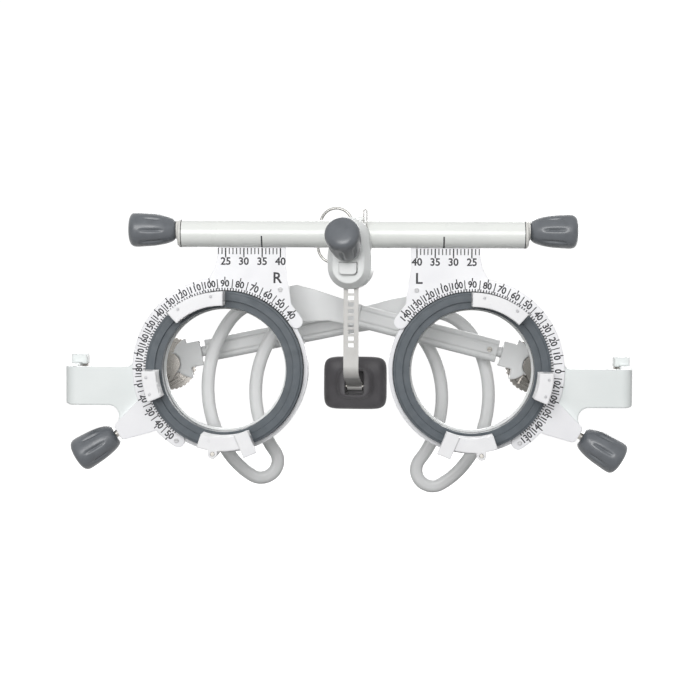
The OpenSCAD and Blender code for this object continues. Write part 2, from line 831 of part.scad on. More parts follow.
// Fillets of the arm to the axis arm below and to the protractor above
module bracket_fillets() {
    low_r = 3;
    high_r = 2;
    slope = atan2((arm_tip_w - arm_root_w) / 2, arm_l - 1.7) - axis_angle;
    across = [-sin(slope), cos(slope)];
    edge = polar(dial_r + 1, -axis_angle) + polar(arm_root_w / 2, 90 - axis_angle);
    low_z = bracket_bottom - low_r;
    low_x = edge[0] + (low_r - (low_z - edge[1]) * across[1]) / across[0];
    high_z = bracket_top + high_r;
    high_x = sqrt(pow(dial_r + high_r, 2) - high_z * high_z);
    difference() {
        polygon([
            [edge[0] - 2, bracket_bottom + 1], [low_x, bracket_bottom + 1], [low_x, low_z],
            [low_x, low_z] - low_r * across, edge - 2 * across
        ]);
        translate([low_x, low_z]) circle(r = low_r);
    }
    difference() {
        polygon([
            [dial_r - 2.4, bracket_top - 1], [high_x, bracket_top - 1], [high_x, high_z],
            [high_x, high_z] * dial_r / (dial_r + high_r) - [0.2, 0], [dial_r - 2.4, high_z - 0.3]
        ]);
        translate([high_x, high_z]) circle(r = high_r);
    }
}

// ---- Temples ----

module hinge_pin() {
    z_high = bracket_top + fork_rise - 0.2;
    color(steel)
    translate([hinge_x, hinge_y, hinge_pin_low])
        cylinder(r = hinge_pin_d / 2, h = z_high - hinge_pin_low);
}

// Link from the hinge pin to the tilt joint, ending in the disc that the tilt ring sits on
module fold_link() {
    z0 = bracket_bottom + fork_h + link_gap;
    z1 = bracket_top + fork_rise - fork_h - link_gap;
    web_low = z0 + 0.6;
    web_high = z1 - 1.4;
    color(steel)
    difference() {
        union() {
            translate([0, 0, z0]) cylinder(r = knuckle_r - 0.2, h = z1 - z0);
            slab(ring_back, disc_front + disc_t) polygon([
                [0, web_low], [tilt_u - disc_r, web_low], [tilt_u, -disc_r + 0.2], [tilt_u, 0],
                [tilt_u - disc_r, web_high], [0, web_high]
            ]);
            translate([tilt_u, 0, 0]) rod_y(disc_r, disc_front, disc_front + disc_t);
        }
        translate([0, 0, z0 - 1]) cylinder(r = hinge_pin_d / 2 + shaft_gap, h = z1 - z0 + 2);
        translate([tilt_u, 0, 0]) rod_y(tilt_bolt_d / 2 + shaft_gap, -5, 5);
    }
}

// Ribbed ring pressed on the link's disc, with the pack of click leaves on the disc's face
module tilt_ring() {
    rib_n = 36;
    leaf_n = 4;
    leaf_pitch = 1.05;
    leaf_base = 0.3;
    color(steel)
    translate([tilt_u, 0, 0]) {
        difference() {
            rod_y(tilt_ring_r, disc_front - 0.1, ring_back);
            rod_y(disc_r, disc_front - 1, disc_front + disc_t + 1);
            for (i = [0:rib_n - 1])
                rotate([0, 360 / rib_n * i, 0])
                    translate([tilt_ring_r + 0.15, 0, 0]) rod_y(0.4, disc_front - 1, disc_front + disc_t + 1);
        }
        rotate([0, -30, 0])
            translate([-3.6, disc_front - leaf_t, -6.4]) {
                for (i = [0:leaf_n - 1])
                    translate([0, 0, i * leaf_pitch]) cube([4.6, leaf_t, 0.6]);
                translate([0, leaf_t - leaf_base, 0])
                    cube([4.6, leaf_base, (leaf_n - 1) * leaf_pitch + 0.6]);
            }
    }
}

// Bolt with a pear-shaped head plate
module tilt_bolt() {
    plate_r = 3.1;
    color("#cfc8b8")
    difference() {
        union() {
            rod_y(tilt_bolt_d / 2, flange_y1 - 1.6, disc_front + disc_t);
            slab(flange_y1 - 1.7, flange_y1 - 0.8) {
                circle(r = plate_r);
                rotate(-110) {
                    translate([3.6, 0]) circle(r = 1.7);
                    polygon([[0.6, -3], [4, -1.66], [4, 1.66], [0.6, 3]]);
                }
            }
        }
        rod_y(1.1, flange_y1 - 2, flange_y1 - 1.3);
        rotate([0, 110, 0]) translate([3.7, 0, 0]) rod_y(0.75, -10, 10);
    }
}

// Temple block: tongue under the bolt's plate, half-moon flange, box and the rod
module temple_block() {
    moon_r = 5.9;
    moon_u = 7.2;
    box_h = 7.2;
    color(temple_grey)
    difference() {
        union() {
            slab(flange_y1 - 0.8, flange_y1) {
                circle(r = 3);
                translate([0, -3]) square([5, 6]);
            }
            slab(flange_y0, flange_y1)
                intersection() {
                    translate([moon_u, 0.5]) circle(r = moon_r);
                    translate([-10, -10]) square([10 + 6.1, 20]);
                }
            translate([block_u[0], flange_y0, arm_v - box_h / 2 - 0.3])
                cube([block_u[1] - block_u[0], flange_y1 - flange_y0, box_h]);
            translate([tilt_ring_r + 0.3, flange_y0, arm_v - box_h / 2 - 0.3])
                cube([block_u[1] - tilt_ring_r - 0.3, sleeve_t / 2 - flange_y0, box_h]);
            translate([0, 0, arm_v]) rod_x(rod_r, block_u[1] - 0.5, sleeve_end - 3);
        }
        difference() {
            rod_y(3.4, flange_y0 - 1, flange_y1 - 0.8);
            translate([3.3, -5, -5]) cube([5, 10, 10]);
        }
        rod_y(tilt_bolt_d / 2 + shaft_gap, -5, 5);
    }
}

// Sleeve with longitudinal grooves that slides on the rod
module temple_sleeve() {
    groove_r1 = 0.35;
    color(temple_grey)
    translate([0, 0, arm_v])
    difference() {
        translate([sleeve_u, 0, 0]) rotate([90, 0, 90])
            linear_extrude(height = sleeve_l)
                difference() {
                    round_rect(sleeve_t, sleeve_h, 1.2);
                    for (y = [-1, 1], z = [-0.24, 0.24])
                        translate([y * (sleeve_t / 2 + 0.12), z * sleeve_h]) circle(r = groove_r1);
                }
        rod_x(rod_r + shaft_gap, sleeve_u - 1, sleeve_end - 1);
        translate([sleeve_u + 2.3, 0, 0]) rod_y(0.75, -sleeve_t, 0);
    }
}

module set_screw() {
    color(steel)
    translate([sleeve_u + 2.3, 0, arm_v])
        difference() {
            rod_y(0.75, -sleeve_t / 2 + 0.05, -rod_r - shaft_gap - 0.02);
            translate([-1, -sleeve_t / 2, -0.12]) cube([2, 0.25, 0.24]);
        }
}

// Flattened tube section of the ear loop
module loop_section() {
    square([loop_w - loop_t, loop_t], center = true);
    for (x = [-1, 1]) translate([x * (loop_w - loop_t) / 2, 0]) circle(r = loop_t / 2);
}

// Chain of tangent arcs in the XY plane, each [radius, turn]; a positive turn bends to the right
module follow_arcs(arcs, i = 0) {
    // Core that ties neighbouring arcs together
    cube([1.6, loop_w / 2, loop_t / 2], center = true);
    if (i < len(arcs)) {
        r = arcs[i][0];
        turn = abs(arcs[i][1]);
        bend = arcs[i][1] > 0 ? 1 : -1;
        translate([0, -bend * r, 0])
            rotate([0, 0, bend > 0 ? 90 - turn : -90])
                rotate_extrude(angle = turn) translate([r, 0]) loop_section();
        translate([r * sin(turn), -bend * r * (1 - cos(turn)), 0])
            rotate([0, 0, -bend * turn])
                follow_arcs(arcs, i + 1);
    }
}

// Shoulder plate of the ear loop, widening from the sleeve to the loop's two strands
module loop_shoulder() {
    u = sleeve_end;
    low = arm_v - sleeve_h / 2;
    high = arm_v + sleeve_h / 2;
    slab(-loop_t / 2 + 0.1, loop_t / 2 - 0.1) {
        polygon([
            [u, low], [u + 8, low - 0.2], [u + 16, low - 2.7], [u + 20.3, low - 6.2], [u + 22.6, low - 5],
            [u + 23, low - 2], [u + 24.6, -1.9], loop_start + [0, -1.5], loop_start + [0.9, 1.3],
            [u + 22.5, high - 0.6], [u + 19.6, high + 0.9], [u + 14, high + 0.9], [u + 7, high + 0.4],
            [u, high]
        ]);
    }
}

module ear_loop() {
    color(temple_grey) {
        loop_shoulder();
        rotate([90, 0, 0]) translate([loop_start[0], loop_start[1], 0]) rotate([0, 0, loop_heading])
            follow_arcs(loop_arcs);
    }
}

// ---- Bridge ----

// Bore for the crossbar, which the turned housing crosses at a slant
module bar_bore() {
    rotate([0, 0, bridge_turn]) rod_x(bar_grip_r, -20, 20);
}

// Outline of the lock button, square above and rounded below
module lug_outline(grow = 0) {
    w = lug_w / 2 + grow;
    h = lug_h / 2 + grow;
    corner = 1;
    translate([-w, corner - h]) square([2 * w, 2 * h - corner]);
    translate([corner - w, -h]) square([2 * (w - corner), 2 * h]);
    for (x = [-1, 1]) translate([x * (w - corner), corner - h]) circle(r = corner);
}

// Domed egg-shaped housing in front of the crossbar, with the strap's channel
module bridge_housing() {
    // Height and radius of the circles that the egg is drawn round
    rounds = [[-9.05, housing_r], [-6.6, housing_r + 0.1], [-0.9, 5.2]];
    dome = 2.2;
    bevel = 1.6;
    color(white)
    bridge()
    difference() {
        hull()
            for (c = rounds) translate([0, 0, c[0]]) {
                rod_y(c[1], -housing_front + dome, 0, $fn = 48);
                rod_y(c[1] - bevel, -housing_front, 0, $fn = 48);
            }
        bar_bore();
        rotate([0, 0, bridge_turn - strap_turn])
            translate([-strap_w / 2 - face_gap, strap_y - face_gap, -30])
                cube([strap_w + 2 * face_gap, strap_t + 2 * face_gap, 60]);
        translate([0, 0, lug_z])
            slab(-housing_front - 1, -housing_front + lug_seat + lock_travel + 0.1) lug_outline(0.1);
        translate([-1, -housing_front, tooth_z - 0.55]) cube([2, housing_front - strap_front + 0.2, 1.1]);
        translate([0, -housing_front, bridge_screw_z]) rotate([90 - knob_tilt, 0, 0])
            translate([0, 0, -bridge_screw_in - 1.3]) cylinder(r = bridge_screw_r, h = 10);
        hairpin_legs() cylinder(r = hairpin_r + shaft_gap, h = 20);
    }
}

// Rear half of the collar round the crossbar
module bridge_collar() {
    collar_w = 6.4;
    color(white)
    bridge()
    difference() {
        rod_x(collar_back, -collar_w / 2, collar_w / 2);
        translate([-collar_w, -2 * collar_back, -collar_back - 1])
            cube([2 * collar_w, 2 * collar_back, 2 * collar_back + 2]);
        bar_bore();
    }
}

// Feet of the hairpin clip in the housing's shoulder
module hairpin_legs() {
    for (x = [-hairpin_half, hairpin_half])
        translate([hairpin_at[0] + x, hairpin_at[1], hairpin_foot]) children();
}

// Half of a wire hoop in the XZ plane, open below
module half_hoop(hoop_r, wire_r) {
    rotate([90, 0, 0]) rotate_extrude(angle = 180) translate([hoop_r, 0]) circle(r = wire_r);
}

// Long wire loop behind the collar, and the hairpin clip in the housing's shoulder
module wire_ring() {
    wire_r = 0.38;
    loop_r = 4.4;
    loop_half = 3.15;
    loop_lean = 6.5;
    hairpin_h = 6.1;
    color("#d4d4d0")
    bridge() {
        translate([-5.7, collar_back + wire_r + 0.05, -0.3]) rotate([0, loop_lean, 0]) {
            translate([0, 0, loop_half]) half_hoop(loop_r, wire_r);
            translate([0, 0, -loop_half]) rotate([180, 0, 0]) half_hoop(loop_r, wire_r);
            for (x = [-loop_r, loop_r]) translate([x, 0, -loop_half]) cylinder(r = wire_r, h = 2 * loop_half);
        }
        hairpin_legs() cylinder(r = hairpin_r, h = hairpin_h - hairpin_foot);
        translate([hairpin_at[0], hairpin_at[1], hairpin_h]) half_hoop(hairpin_half, hairpin_r);
    }
}

module bridge_screw() {
    color(steel)
    bridge_screw_line() translate([0, 0, -bridge_screw_in])
        cylinder(r = bridge_screw_r, h = bridge_screw_in + bridge_screw_out + knob_bore_l);
}

module bridge_knob() {
    bridge_screw_line() translate([0, 0, bridge_screw_out]) knob(bridge_screw_r, knob_bore_l);
}

// Strap: straight windowed run, bend, run back to the pad and the roll round the pad's pin
module nose_strap() {
    bend_r = 3;
    bend = [strap_y + strap_t / 2 + bend_r, strap_bend];
    roll = [pad_pin_y, pad_pin_z];
    span = roll - bend;
    run_l = sqrt(span * span - bend_r * bend_r);
    lean = atan2(span[1], span[0]) + atan(bend_r / run_l);
    color(ivory)
    hanging()
    difference() {
        translate([-strap_w / 2, 0, 0]) rotate([90, 0, 90]) linear_extrude(height = strap_w) {
            translate([strap_y, strap_bend]) square([strap_t, strap_top - strap_bend]);
            translate(bend) intersection() {
                difference() {
                    circle(r = bend_r + strap_t / 2);
                    circle(r = bend_r - strap_t / 2);
                }
                polygon([[0, 0], [-10, 0], [-10, -10], 10 * [cos(lean - 90), sin(lean - 90)]]);
            }
            translate(bend) rotate(lean) translate([0, -bend_r - strap_t / 2]) square([run_l, strap_t]);
            translate(roll) circle(r = roll_r);
        }
        for (i = [0:window_n - 1])
            translate([-window_w / 2, strap_y - 1, window_z0 + i * window_pitch - window_h / 2])
                cube([window_w, strap_t + 2, window_h]);
        translate([0, roll[0], roll[1]]) rod_x(pad_pin_r, -10, 10);
    }
}

module lock_button() {
    color(white)
    bridge() {
        translate([0, 0, lug_z]) slab(-housing_front - lug_out, -housing_front + lug_seat) lug_outline();
        translate([-0.9, -housing_front, tooth_z - 0.4])
            cube([1.8, housing_front - strap_front - lock_travel - 2 * face_gap, 0.8]);
    }
}

module pad_pin() {
    color(steel)
    hanging() translate([0, pad_pin_y, pad_pin_z]) rod_x(pad_pin_r, -3.8, 3.8);
}

// Outline of the nose pad, with its sides bulging a little
module pad_outline(inset = 0) {
    w = pad_w - 2 * inset;
    h = pad_h - 2 * inset;
    bulge = 0.7;
    bulge_r = h * h / 8 / bulge + bulge / 2;
    intersection() {
        round_rect(w, h, 2.2, $fn = 32);
        for (x = [-1, 1]) translate([x * (w / 2 - bulge_r), 0]) circle(r = bulge_r, $fn = 120);
    }
}

// Nose pad: rounded cushion, raised boss in front and the pocket for the strap's roll
module nose_pad() {
    boss_w = 9.6;
    boss_h = 8.2;
    pocket_w = strap_w + 0.8;
    pocket_low = pad_pin_z - pad_z - 2.3;
    pocket_h = 6.6;
    round_off = 0.8;
    color(pad_grey)
    hanging()
    translate([0, pad_front, pad_z])
    difference() {
        union() {
            hull() {
                slab(round_off, pad_t - round_off) pad_outline();
                slab(0, pad_t) pad_outline(round_off);
            }
            slab(-boss_out, 1) round_rect(boss_w, boss_h, 3.2);
        }
        translate([-pocket_w / 2, -boss_out - 1, pocket_low]) cube([pocket_w, boss_out + 1 + 2.8, pocket_h]);
        translate([0, pad_pin_y - pad_front, pad_pin_z - pad_z]) rod_x(pad_pin_r + shaft_gap, -3.9, 3.9);
    }
}

// ---- Assembly ----

crossbar_tube();
end_caps();
centre_bearing();
mirror([1, 0, 0]) pd_screw();  // pd_screw_right
pd_screw();  // pd_screw_left
mirror([1, 0, 0]) pd_knob();  // pd_knob_right
pd_knob();  // pd_knob_left
eye(RIGHT) pd_slider();  // pd_slider_right
eye(LEFT) pd_slider();  // pd_slider_left
eye(RIGHT) scale_plate();  // scale_plate_right
eye(LEFT) scale_plate();  // scale_plate_left
eye(RIGHT) cell_housing();  // cell_housing_right
eye(LEFT) cell_housing();  // cell_housing_left
eye(RIGHT) side_bracket();  // side_bracket_right
eye(LEFT) side_bracket();  // side_bracket_left
eye(RIGHT) lens_spring();  // lens_spring_right
eye(LEFT) lens_spring();  // lens_spring_left
eye(RIGHT) plate_screws();  // plate_screws_right
eye(LEFT) plate_screws();  // plate_screws_left
eye(RIGHT) lens_ring();  // lens_ring_right
eye(LEFT) lens_ring();  // lens_ring_left
eye(RIGHT) upper_claw();  // upper_claw_right
eye(LEFT) upper_claw();  // upper_claw_left
eye(RIGHT) side_claw();  // side_claw_right
eye(LEFT) side_claw();  // side_claw_left
eye(RIGHT) claw_screws();  // claw_screws_right
eye(LEFT) claw_screws();  // claw_screws_left
eye(RIGHT) latch_claw();  // latch_claw_right
eye(LEFT) latch_claw();  // latch_claw_left
eye(RIGHT) latch_pin();  // latch_pin_right
eye(LEFT) latch_pin();  // latch_pin_left
eye(RIGHT) axis_spindle();  // axis_spindle_right
eye(LEFT) axis_spindle();  // axis_spindle_left
eye(RIGHT) axis_knob();  // axis_knob_right
eye(LEFT) axis_knob();  // axis_knob_left
eye(RIGHT) hinge_pin();  // hinge_pin_right
eye(LEFT) hinge_pin();  // hinge_pin_left
fold(RIGHT) fold_link();  // fold_link_right
fold(LEFT) fold_link();  // fold_link_left
fold(RIGHT) tilt_ring();  // tilt_ring_right
fold(LEFT) tilt_ring();  // tilt_ring_left
tilt(RIGHT) tilt_bolt();  // tilt_bolt_right
tilt(LEFT) tilt_bolt();  // tilt_bolt_left
tilt(RIGHT) temple_block();  // temple_block_right
tilt(LEFT) temple_block();  // temple_block_left
tilt(RIGHT) temple_sleeve();  // temple_sleeve_right
tilt(LEFT) temple_sleeve();  // temple_sleeve_left
tilt(RIGHT) ear_loop();  // ear_loop_right
tilt(LEFT) ear_loop();  // ear_loop_left
tilt(RIGHT) set_screw();  // set_screw_right
tilt(LEFT) set_screw();  // set_screw_left
bridge_housing();
bridge_collar();
wire_ring();
bridge_screw();
bridge_knob();
nose_strap();
lock_button();
pad_pin();
nose_pad();
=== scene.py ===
import json
import math

import bmesh
import bpy
from mathutils import Matrix, Vector


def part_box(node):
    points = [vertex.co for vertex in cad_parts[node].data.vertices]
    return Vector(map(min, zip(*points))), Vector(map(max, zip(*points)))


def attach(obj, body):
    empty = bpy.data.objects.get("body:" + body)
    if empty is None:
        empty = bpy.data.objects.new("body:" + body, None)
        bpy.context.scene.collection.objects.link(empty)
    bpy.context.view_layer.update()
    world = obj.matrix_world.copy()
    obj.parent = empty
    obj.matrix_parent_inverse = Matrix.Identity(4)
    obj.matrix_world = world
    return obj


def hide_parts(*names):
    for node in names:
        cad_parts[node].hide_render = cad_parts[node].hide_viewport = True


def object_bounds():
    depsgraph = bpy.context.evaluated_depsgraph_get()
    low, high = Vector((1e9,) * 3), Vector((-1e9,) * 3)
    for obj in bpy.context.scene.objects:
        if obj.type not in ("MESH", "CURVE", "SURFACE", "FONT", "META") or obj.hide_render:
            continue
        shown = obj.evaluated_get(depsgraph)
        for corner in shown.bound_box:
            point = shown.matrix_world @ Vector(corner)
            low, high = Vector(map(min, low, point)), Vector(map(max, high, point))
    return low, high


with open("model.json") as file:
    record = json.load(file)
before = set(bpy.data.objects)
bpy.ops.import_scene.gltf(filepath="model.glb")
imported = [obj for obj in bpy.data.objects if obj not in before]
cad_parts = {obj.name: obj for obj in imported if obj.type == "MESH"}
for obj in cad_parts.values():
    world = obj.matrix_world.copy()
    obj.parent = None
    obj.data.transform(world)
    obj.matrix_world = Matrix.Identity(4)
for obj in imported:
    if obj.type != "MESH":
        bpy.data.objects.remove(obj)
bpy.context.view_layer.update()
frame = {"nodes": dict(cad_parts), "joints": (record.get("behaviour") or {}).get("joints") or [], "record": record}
MM = 0.001
# Which way along X each of the wearer's eyes lies
EYES = {"right": -1, "left": 1}


# ---- Small tools ----

def ink(hex_colour):
    """sRGB hex to the linear colour that a shader wants."""
    parts = [int(hex_colour[i:i + 2], 16) / 255 for i in (1, 3, 5)]
    return [c / 12.92 if c <= 0.04045 else ((c + 0.055) / 1.055) ** 2.4 for c in parts] + [1.0]


def add(tree, kind, inputs=None, **settings):
    """Adds one node, with its settings, and its inputs as values or as sockets to link from."""
    made = tree.nodes.new(kind)
    for name, value in settings.items():
        setattr(made, name, value)
    for name, value in (inputs or {}).items():
        socket = made.inputs[name]
        if isinstance(value, bpy.types.NodeSocket):
            tree.links.new(value, socket)
        else:
            socket.default_value = value
    return made


def bare_material(name):
    """Material with nothing in its tree but the output."""
    made = bpy.data.materials.new(name)
    made.use_nodes = True
    tree = made.node_tree
    tree.nodes.clear()
    return made, tree, add(tree, "ShaderNodeOutputMaterial")


def new_finish(name, uniform):
    """Surface whose shader holds its uniform values; each finish adds its own pattern to it."""
    made, tree, out = bare_material(name)
    skin = add(tree, "ShaderNodeBsdfPrincipled", {"IOR": 1.5, "Coat Roughness": 0.18, **uniform})
    tree.links.new(skin.outputs[0], out.inputs[0])
    place = add(tree, "ShaderNodeTexCoord")
    return made, tree, skin, place.outputs["Object"]


def patches(tree, skin, place, pale, dark, size_mm):
    """Uneven colour in soft patches of about size_mm, between two near shades."""
    cloud = add(tree, "ShaderNodeTexNoise", {
        "Vector": place, "Scale": 1 / (size_mm * MM), "Detail": 3.0})
    ramp = add(tree, "ShaderNodeValToRGB", {"Fac": cloud.outputs["Fac"]})
    for stop, position, shade in zip(ramp.color_ramp.elements, (0.25, 0.75), (dark, pale)):
        stop.position = position
        stop.color = ink(shade)
    tree.links.new(ramp.outputs["Color"], skin.inputs["Base Color"])


def gloss_from(tree, skin, height, low, high):
    """Roughness that follows a pattern between two values."""
    span = add(tree, "ShaderNodeMapRange", {
        "Value": height, "From Min": 0.3, "From Max": 0.7, "To Min": low, "To Max": high})
    tree.links.new(span.outputs["Result"], skin.inputs["Roughness"])


def varied_gloss(tree, skin, place, low, high, size_mm):
    """Roughness that wanders between two values, from handling and wiping."""
    cloud = add(tree, "ShaderNodeTexNoise", {
        "Vector": place, "Scale": 1 / (size_mm * MM), "Detail": 4.0})
    gloss_from(tree, skin, cloud.outputs["Fac"], low, high)


def relief(tree, skin, height, depth_mm, edge_mm):
    """Bump of a pattern, over sharp edges rounded off as moulding and polishing leave them."""
    soft = add(tree, "ShaderNodeBevel", {"Radius": edge_mm * MM}, samples=4)
    bump = add(tree, "ShaderNodeBump", {
        "Height": height, "Distance": depth_mm * MM, "Strength": 1.0,
        "Normal": soft.outputs["Normal"]})
    tree.links.new(bump.outputs["Normal"], skin.inputs["Normal"])


def grain(tree, skin, place, size_mm, detail, depth_mm, edge_mm):
    """Relief of a fine even grain, size_mm across."""
    cloud = add(tree, "ShaderNodeTexNoise", {
        "Vector": place, "Scale": 1 / (size_mm * MM), "Detail": detail})
    relief(tree, skin, cloud.outputs["Fac"], depth_mm, edge_mm)


# ---- Finishes ----

def lacquered_tube():
    """Aluminium tube in white stoving lacquer: soft gloss, faint orange peel about 1 mm across."""
    made, tree, skin, place = new_finish("white stoving lacquer", {"Coat Weight": 0.25})
    patches(tree, skin, place, "#edefeb", "#e7e9e6", 14)
    varied_gloss(tree, skin, place, 0.26, 0.38, 5)
    grain(tree, skin, place, 0.9, 1.0, 0.004, 0.15)
    return made


def printed_plate():
    """White enamelled scale plate: even satin with a fine tooth that takes the printing."""
    made, tree, skin, place = new_finish("white scale enamel", {"Coat Weight": 0.1})
    patches(tree, skin, place, "#f5f5f7", "#eeeef1", 9)
    varied_gloss(tree, skin, place, 0.34, 0.46, 4)
    grain(tree, skin, place, 0.35, 2.0, 0.003, 0.35)
    return made


def moulded_white(name, pale, dark, rough):
    """Moulded white acetal: satin, with the shallow ripple of a polished tool, 2 mm across."""
    made, tree, skin, place = new_finish(name, {"Coat Weight": 0.08})
    patches(tree, skin, place, pale, dark, 6)
    varied_gloss(tree, skin, place, rough - 0.05, rough + 0.08, 3)
    grain(tree, skin, place, 2.2, 2.0, 0.006, 0.5)
    return made


def sprayed_bracket():
    """Die-cast bracket sprayed cool white: even powder grain, drawn 0.45 mm so that it shows."""
    made, tree, skin, place = new_finish("cool white powder coat", {})
    patches(tree, skin, place, "#ebefee", "#e3e8e7", 12)
    varied_gloss(tree, skin, place, 0.38, 0.5, 3)
    grain(tree, skin, place, 0.45, 2.0, 0.004, 0.7)
    return made


def turned_ring(name, centre):
    """Slate acetal ring turned on a lathe: fine rings 0.5 mm apart round the lens, a soft sheen."""
    made, tree, skin, place = new_finish(name, {"Coat Weight": 0.05})
    moved = add(tree, "ShaderNodeMapping", {"Vector": place, "Location": [-c for c in centre]})
    split = add(tree, "ShaderNodeSeparateXYZ", {"Vector": moved.outputs["Vector"]})
    flat = add(tree, "ShaderNodeCombineXYZ", {"X": split.outputs["X"], "Y": split.outputs["Z"]})
    radius = add(tree, "ShaderNodeVectorMath", {0: flat.outputs["Vector"]}, operation="LENGTH")
    rings = add(tree, "ShaderNodeMath", {
        0: radius.outputs["Value"], 1: 2 * math.pi / (0.5 * MM)}, operation="MULTIPLY")
    wave = add(tree, "ShaderNodeMath", {0: rings.outputs[0]}, operation="SINE")
    patches(tree, skin, place, "#4d555c", "#41494f", 3.5)
    varied_gloss(tree, skin, place, 0.42, 0.56, 2)
    relief(tree, skin, wave.outputs[0], 0.0025, 0.3)
    return made


def grained_knob():
    """Moulded slate knob: spark-eroded grain about 0.4 mm across, polished a little by fingers."""
    made, tree, skin, place = new_finish("slate grained nylon", {"Coat Weight": 0.2})
    patches(tree, skin, place, "#686c71", "#575b60", 4)
    varied_gloss(tree, skin, place, 0.3, 0.42, 2)
    grain(tree, skin, place, 0.4, 2.0, 0.006, 0.3)
    return made


def soft_pad():
    """Nose pad in dark silicone: smooth, dull, with a faint bloom."""
    made, tree, skin, place = new_finish("charcoal silicone", {"Sheen Weight": 0.15})
    patches(tree, skin, place, "#49474a", "#3d3b3e", 5)
    varied_gloss(tree, skin, place, 0.44, 0.58, 3)
    grain(tree, skin, place, 0.5, 2.0, 0.005, 0.35)
    return made


def lacquered_strap():
    """Strap in pale satin lacquer, over lines brushed along its length and drawn 0.25 mm apart."""
    made, tree, skin, place = new_finish("pale strap lacquer", {
        "Roughness": 0.4, "Coat Weight": 0.2})
    drawn_out = add(tree, "ShaderNodeMapping", {"Vector": place, "Scale": (1, 1, 0.04)})
    lines = add(tree, "ShaderNodeTexNoise", {
        "Vector": drawn_out.outputs["Vector"], "Scale": 1 / (0.25 * MM), "Detail": 2.0})
    patches(tree, skin, place, "#cecdca", "#bdbbb8", 4)
    relief(tree, skin, lines.outputs["Fac"], 0.004, 0.1)
    return made


def temple_lacquer():
    """Temples and loops in pale grey satin lacquer: clouded gloss where skin has touched it."""
    made, tree, skin, place = new_finish("pale grey temple lacquer", {"Coat Weight": 0.15})
    patches(tree, skin, place, "#dfe0e0", "#d4d5d5", 11)
    varied_gloss(tree, skin, place, 0.3, 0.48, 4)
    grain(tree, skin, place, 0.7, 1.0, 0.004, 0.7)
    return made


def metal(name, colour, rough, stripe_mm, stretch, edge_mm=0.2):
    """Worked metal: fine brushed or turned lines stripe_mm apart, which vary its gloss a little."""
    made, tree, skin, place = new_finish(name, {"Base Color": ink(colour), "Metallic": 1.0})
    drawn_out = add(tree, "ShaderNodeMapping", {"Vector": place, "Scale": stretch})
    lines = add(tree, "ShaderNodeTexNoise", {
        "Vector": drawn_out.outputs["Vector"], "Scale": 1 / (stripe_mm * MM), "Detail": 2.0})
    gloss_from(tree, skin, lines.outputs["Fac"], rough - 0.008, rough + 0.012)
    relief(tree, skin, lines.outputs["Fac"], 0.0004, edge_mm)
    return made


def scale_ink():
    """Black screen ink, dead flat, slightly broken by the enamel's tooth."""
    made, tree, skin, place = new_finish("black scale ink", {"Roughness": 0.6})
    patches(tree, skin, place, "#2e2e33", "#222226", 0.8)
    return made


def joint_named(name):
    """One joint of the frame, with its axis and place."""
    return next(j for j in frame["joints"] if j["name"] == name)


def lens_centre(side):
    """Centre of one lens, from its ring's own joint."""
    return Vector(joint_named("ring_turn_" + side)["pos_m"])


FINISH = {
    "bar_white": lacquered_tube(),
    "cap_ivory": moulded_white("ivory nylon", "#ecebe7", "#e3e2dd", 0.4),
    "plate_white": printed_plate(),
    "housing_white": moulded_white("white acetal housing", "#eceeed", "#e4e6e5", 0.36),
    "claw_white": moulded_white("white acetal claw", "#f3f3f4", "#eaeaec", 0.32),
    "bracket_white": sprayed_bracket(),
    "knob_slate": grained_knob(),
    "pad_grey": soft_pad(),
    "strap_ivory": lacquered_strap(),
    "temple_grey": temple_lacquer(),
    "hinge_metal": metal("brushed nickel hinge", "#a6a29d", 0.24, 0.3, (0.05, 1, 1)),
    "turned_steel": metal("turned steel", "#a8a5a0", 0.3, 0.2, (1, 1, 1)),
    "wire_steel": metal("drawn spring wire", "#9b9a97", 0.25, 0.2, (1, 0.2, 1), 0.3),
    "ink": scale_ink(),
}
# The rings' lathe marks run round each lens, and the screws in sight are lacquered over
RING = {side: turned_ring("slate acetal ring " + side, lens_centre(side)) for side in EYES}
SCREW = {"plate_screws": moulded_white("lacquered plate screw", "#e4e4e4", "#d6d6d8", 0.35),
         "claw_screws": moulded_white("lacquered claw screw", "#dcdcde", "#cdcdd0", 0.35)}

for part in frame["record"]["subparts"]:
    node, slot = part["node"], part["material_slot"]
    kind, side = (node.rsplit("_", 1) + [""])[:2]
    if slot == "ring_slate":
        finish = RING[side]
    else:
        finish = SCREW.get(kind, FINISH[slot])
    coats = frame["nodes"][node].data.materials
    coats.clear()
    coats.append(finish)


# ---- Building tools ----

def evaluated_mesh(thing):
    """Mesh of an object as its modifiers or its outline make it; the object is done with."""
    bpy.context.collection.objects.link(thing)
    looked = thing.evaluated_get(bpy.context.evaluated_depsgraph_get())
    mesh = bpy.data.meshes.new_from_object(looked)
    bpy.data.objects.remove(thing)
    return mesh


def mounted(shape, name, body, finish):
    """Piece from a built shape, in one finish, riding on a body."""
    mesh = bpy.data.meshes.new(name)
    shape.to_mesh(mesh)
    shape.free()
    mesh.materials.append(finish)
    piece = bpy.data.objects.new(name, mesh)
    bpy.context.collection.objects.link(piece)
    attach(piece, body)
    return piece


SHARP = math.radians(38)


def rounded_piece(shape, name, body, finish):
    """Piece with its faces outwards, smooth but for its sharp edges."""
    bmesh.ops.recalc_face_normals(shape, faces=shape.faces)
    for face in shape.faces:
        face.smooth = True
    for edge in shape.edges:
        edge.smooth = len(edge.link_faces) == 2 and edge.calc_face_angle(0) < SHARP
    return mounted(shape, name, body, finish)


def bridged(shape, row, after):
    """Faces between two closed rows of the same number of points."""
    for i in range(len(row)):
        j = (i + 1) % len(row)
        shape.faces.new((row[i], row[j], after[j], after[i]))


# ---- Printed scales ----

PRINT_T = 0.02 * MM
PLATE_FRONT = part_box("scale_plate_left")[0][1]
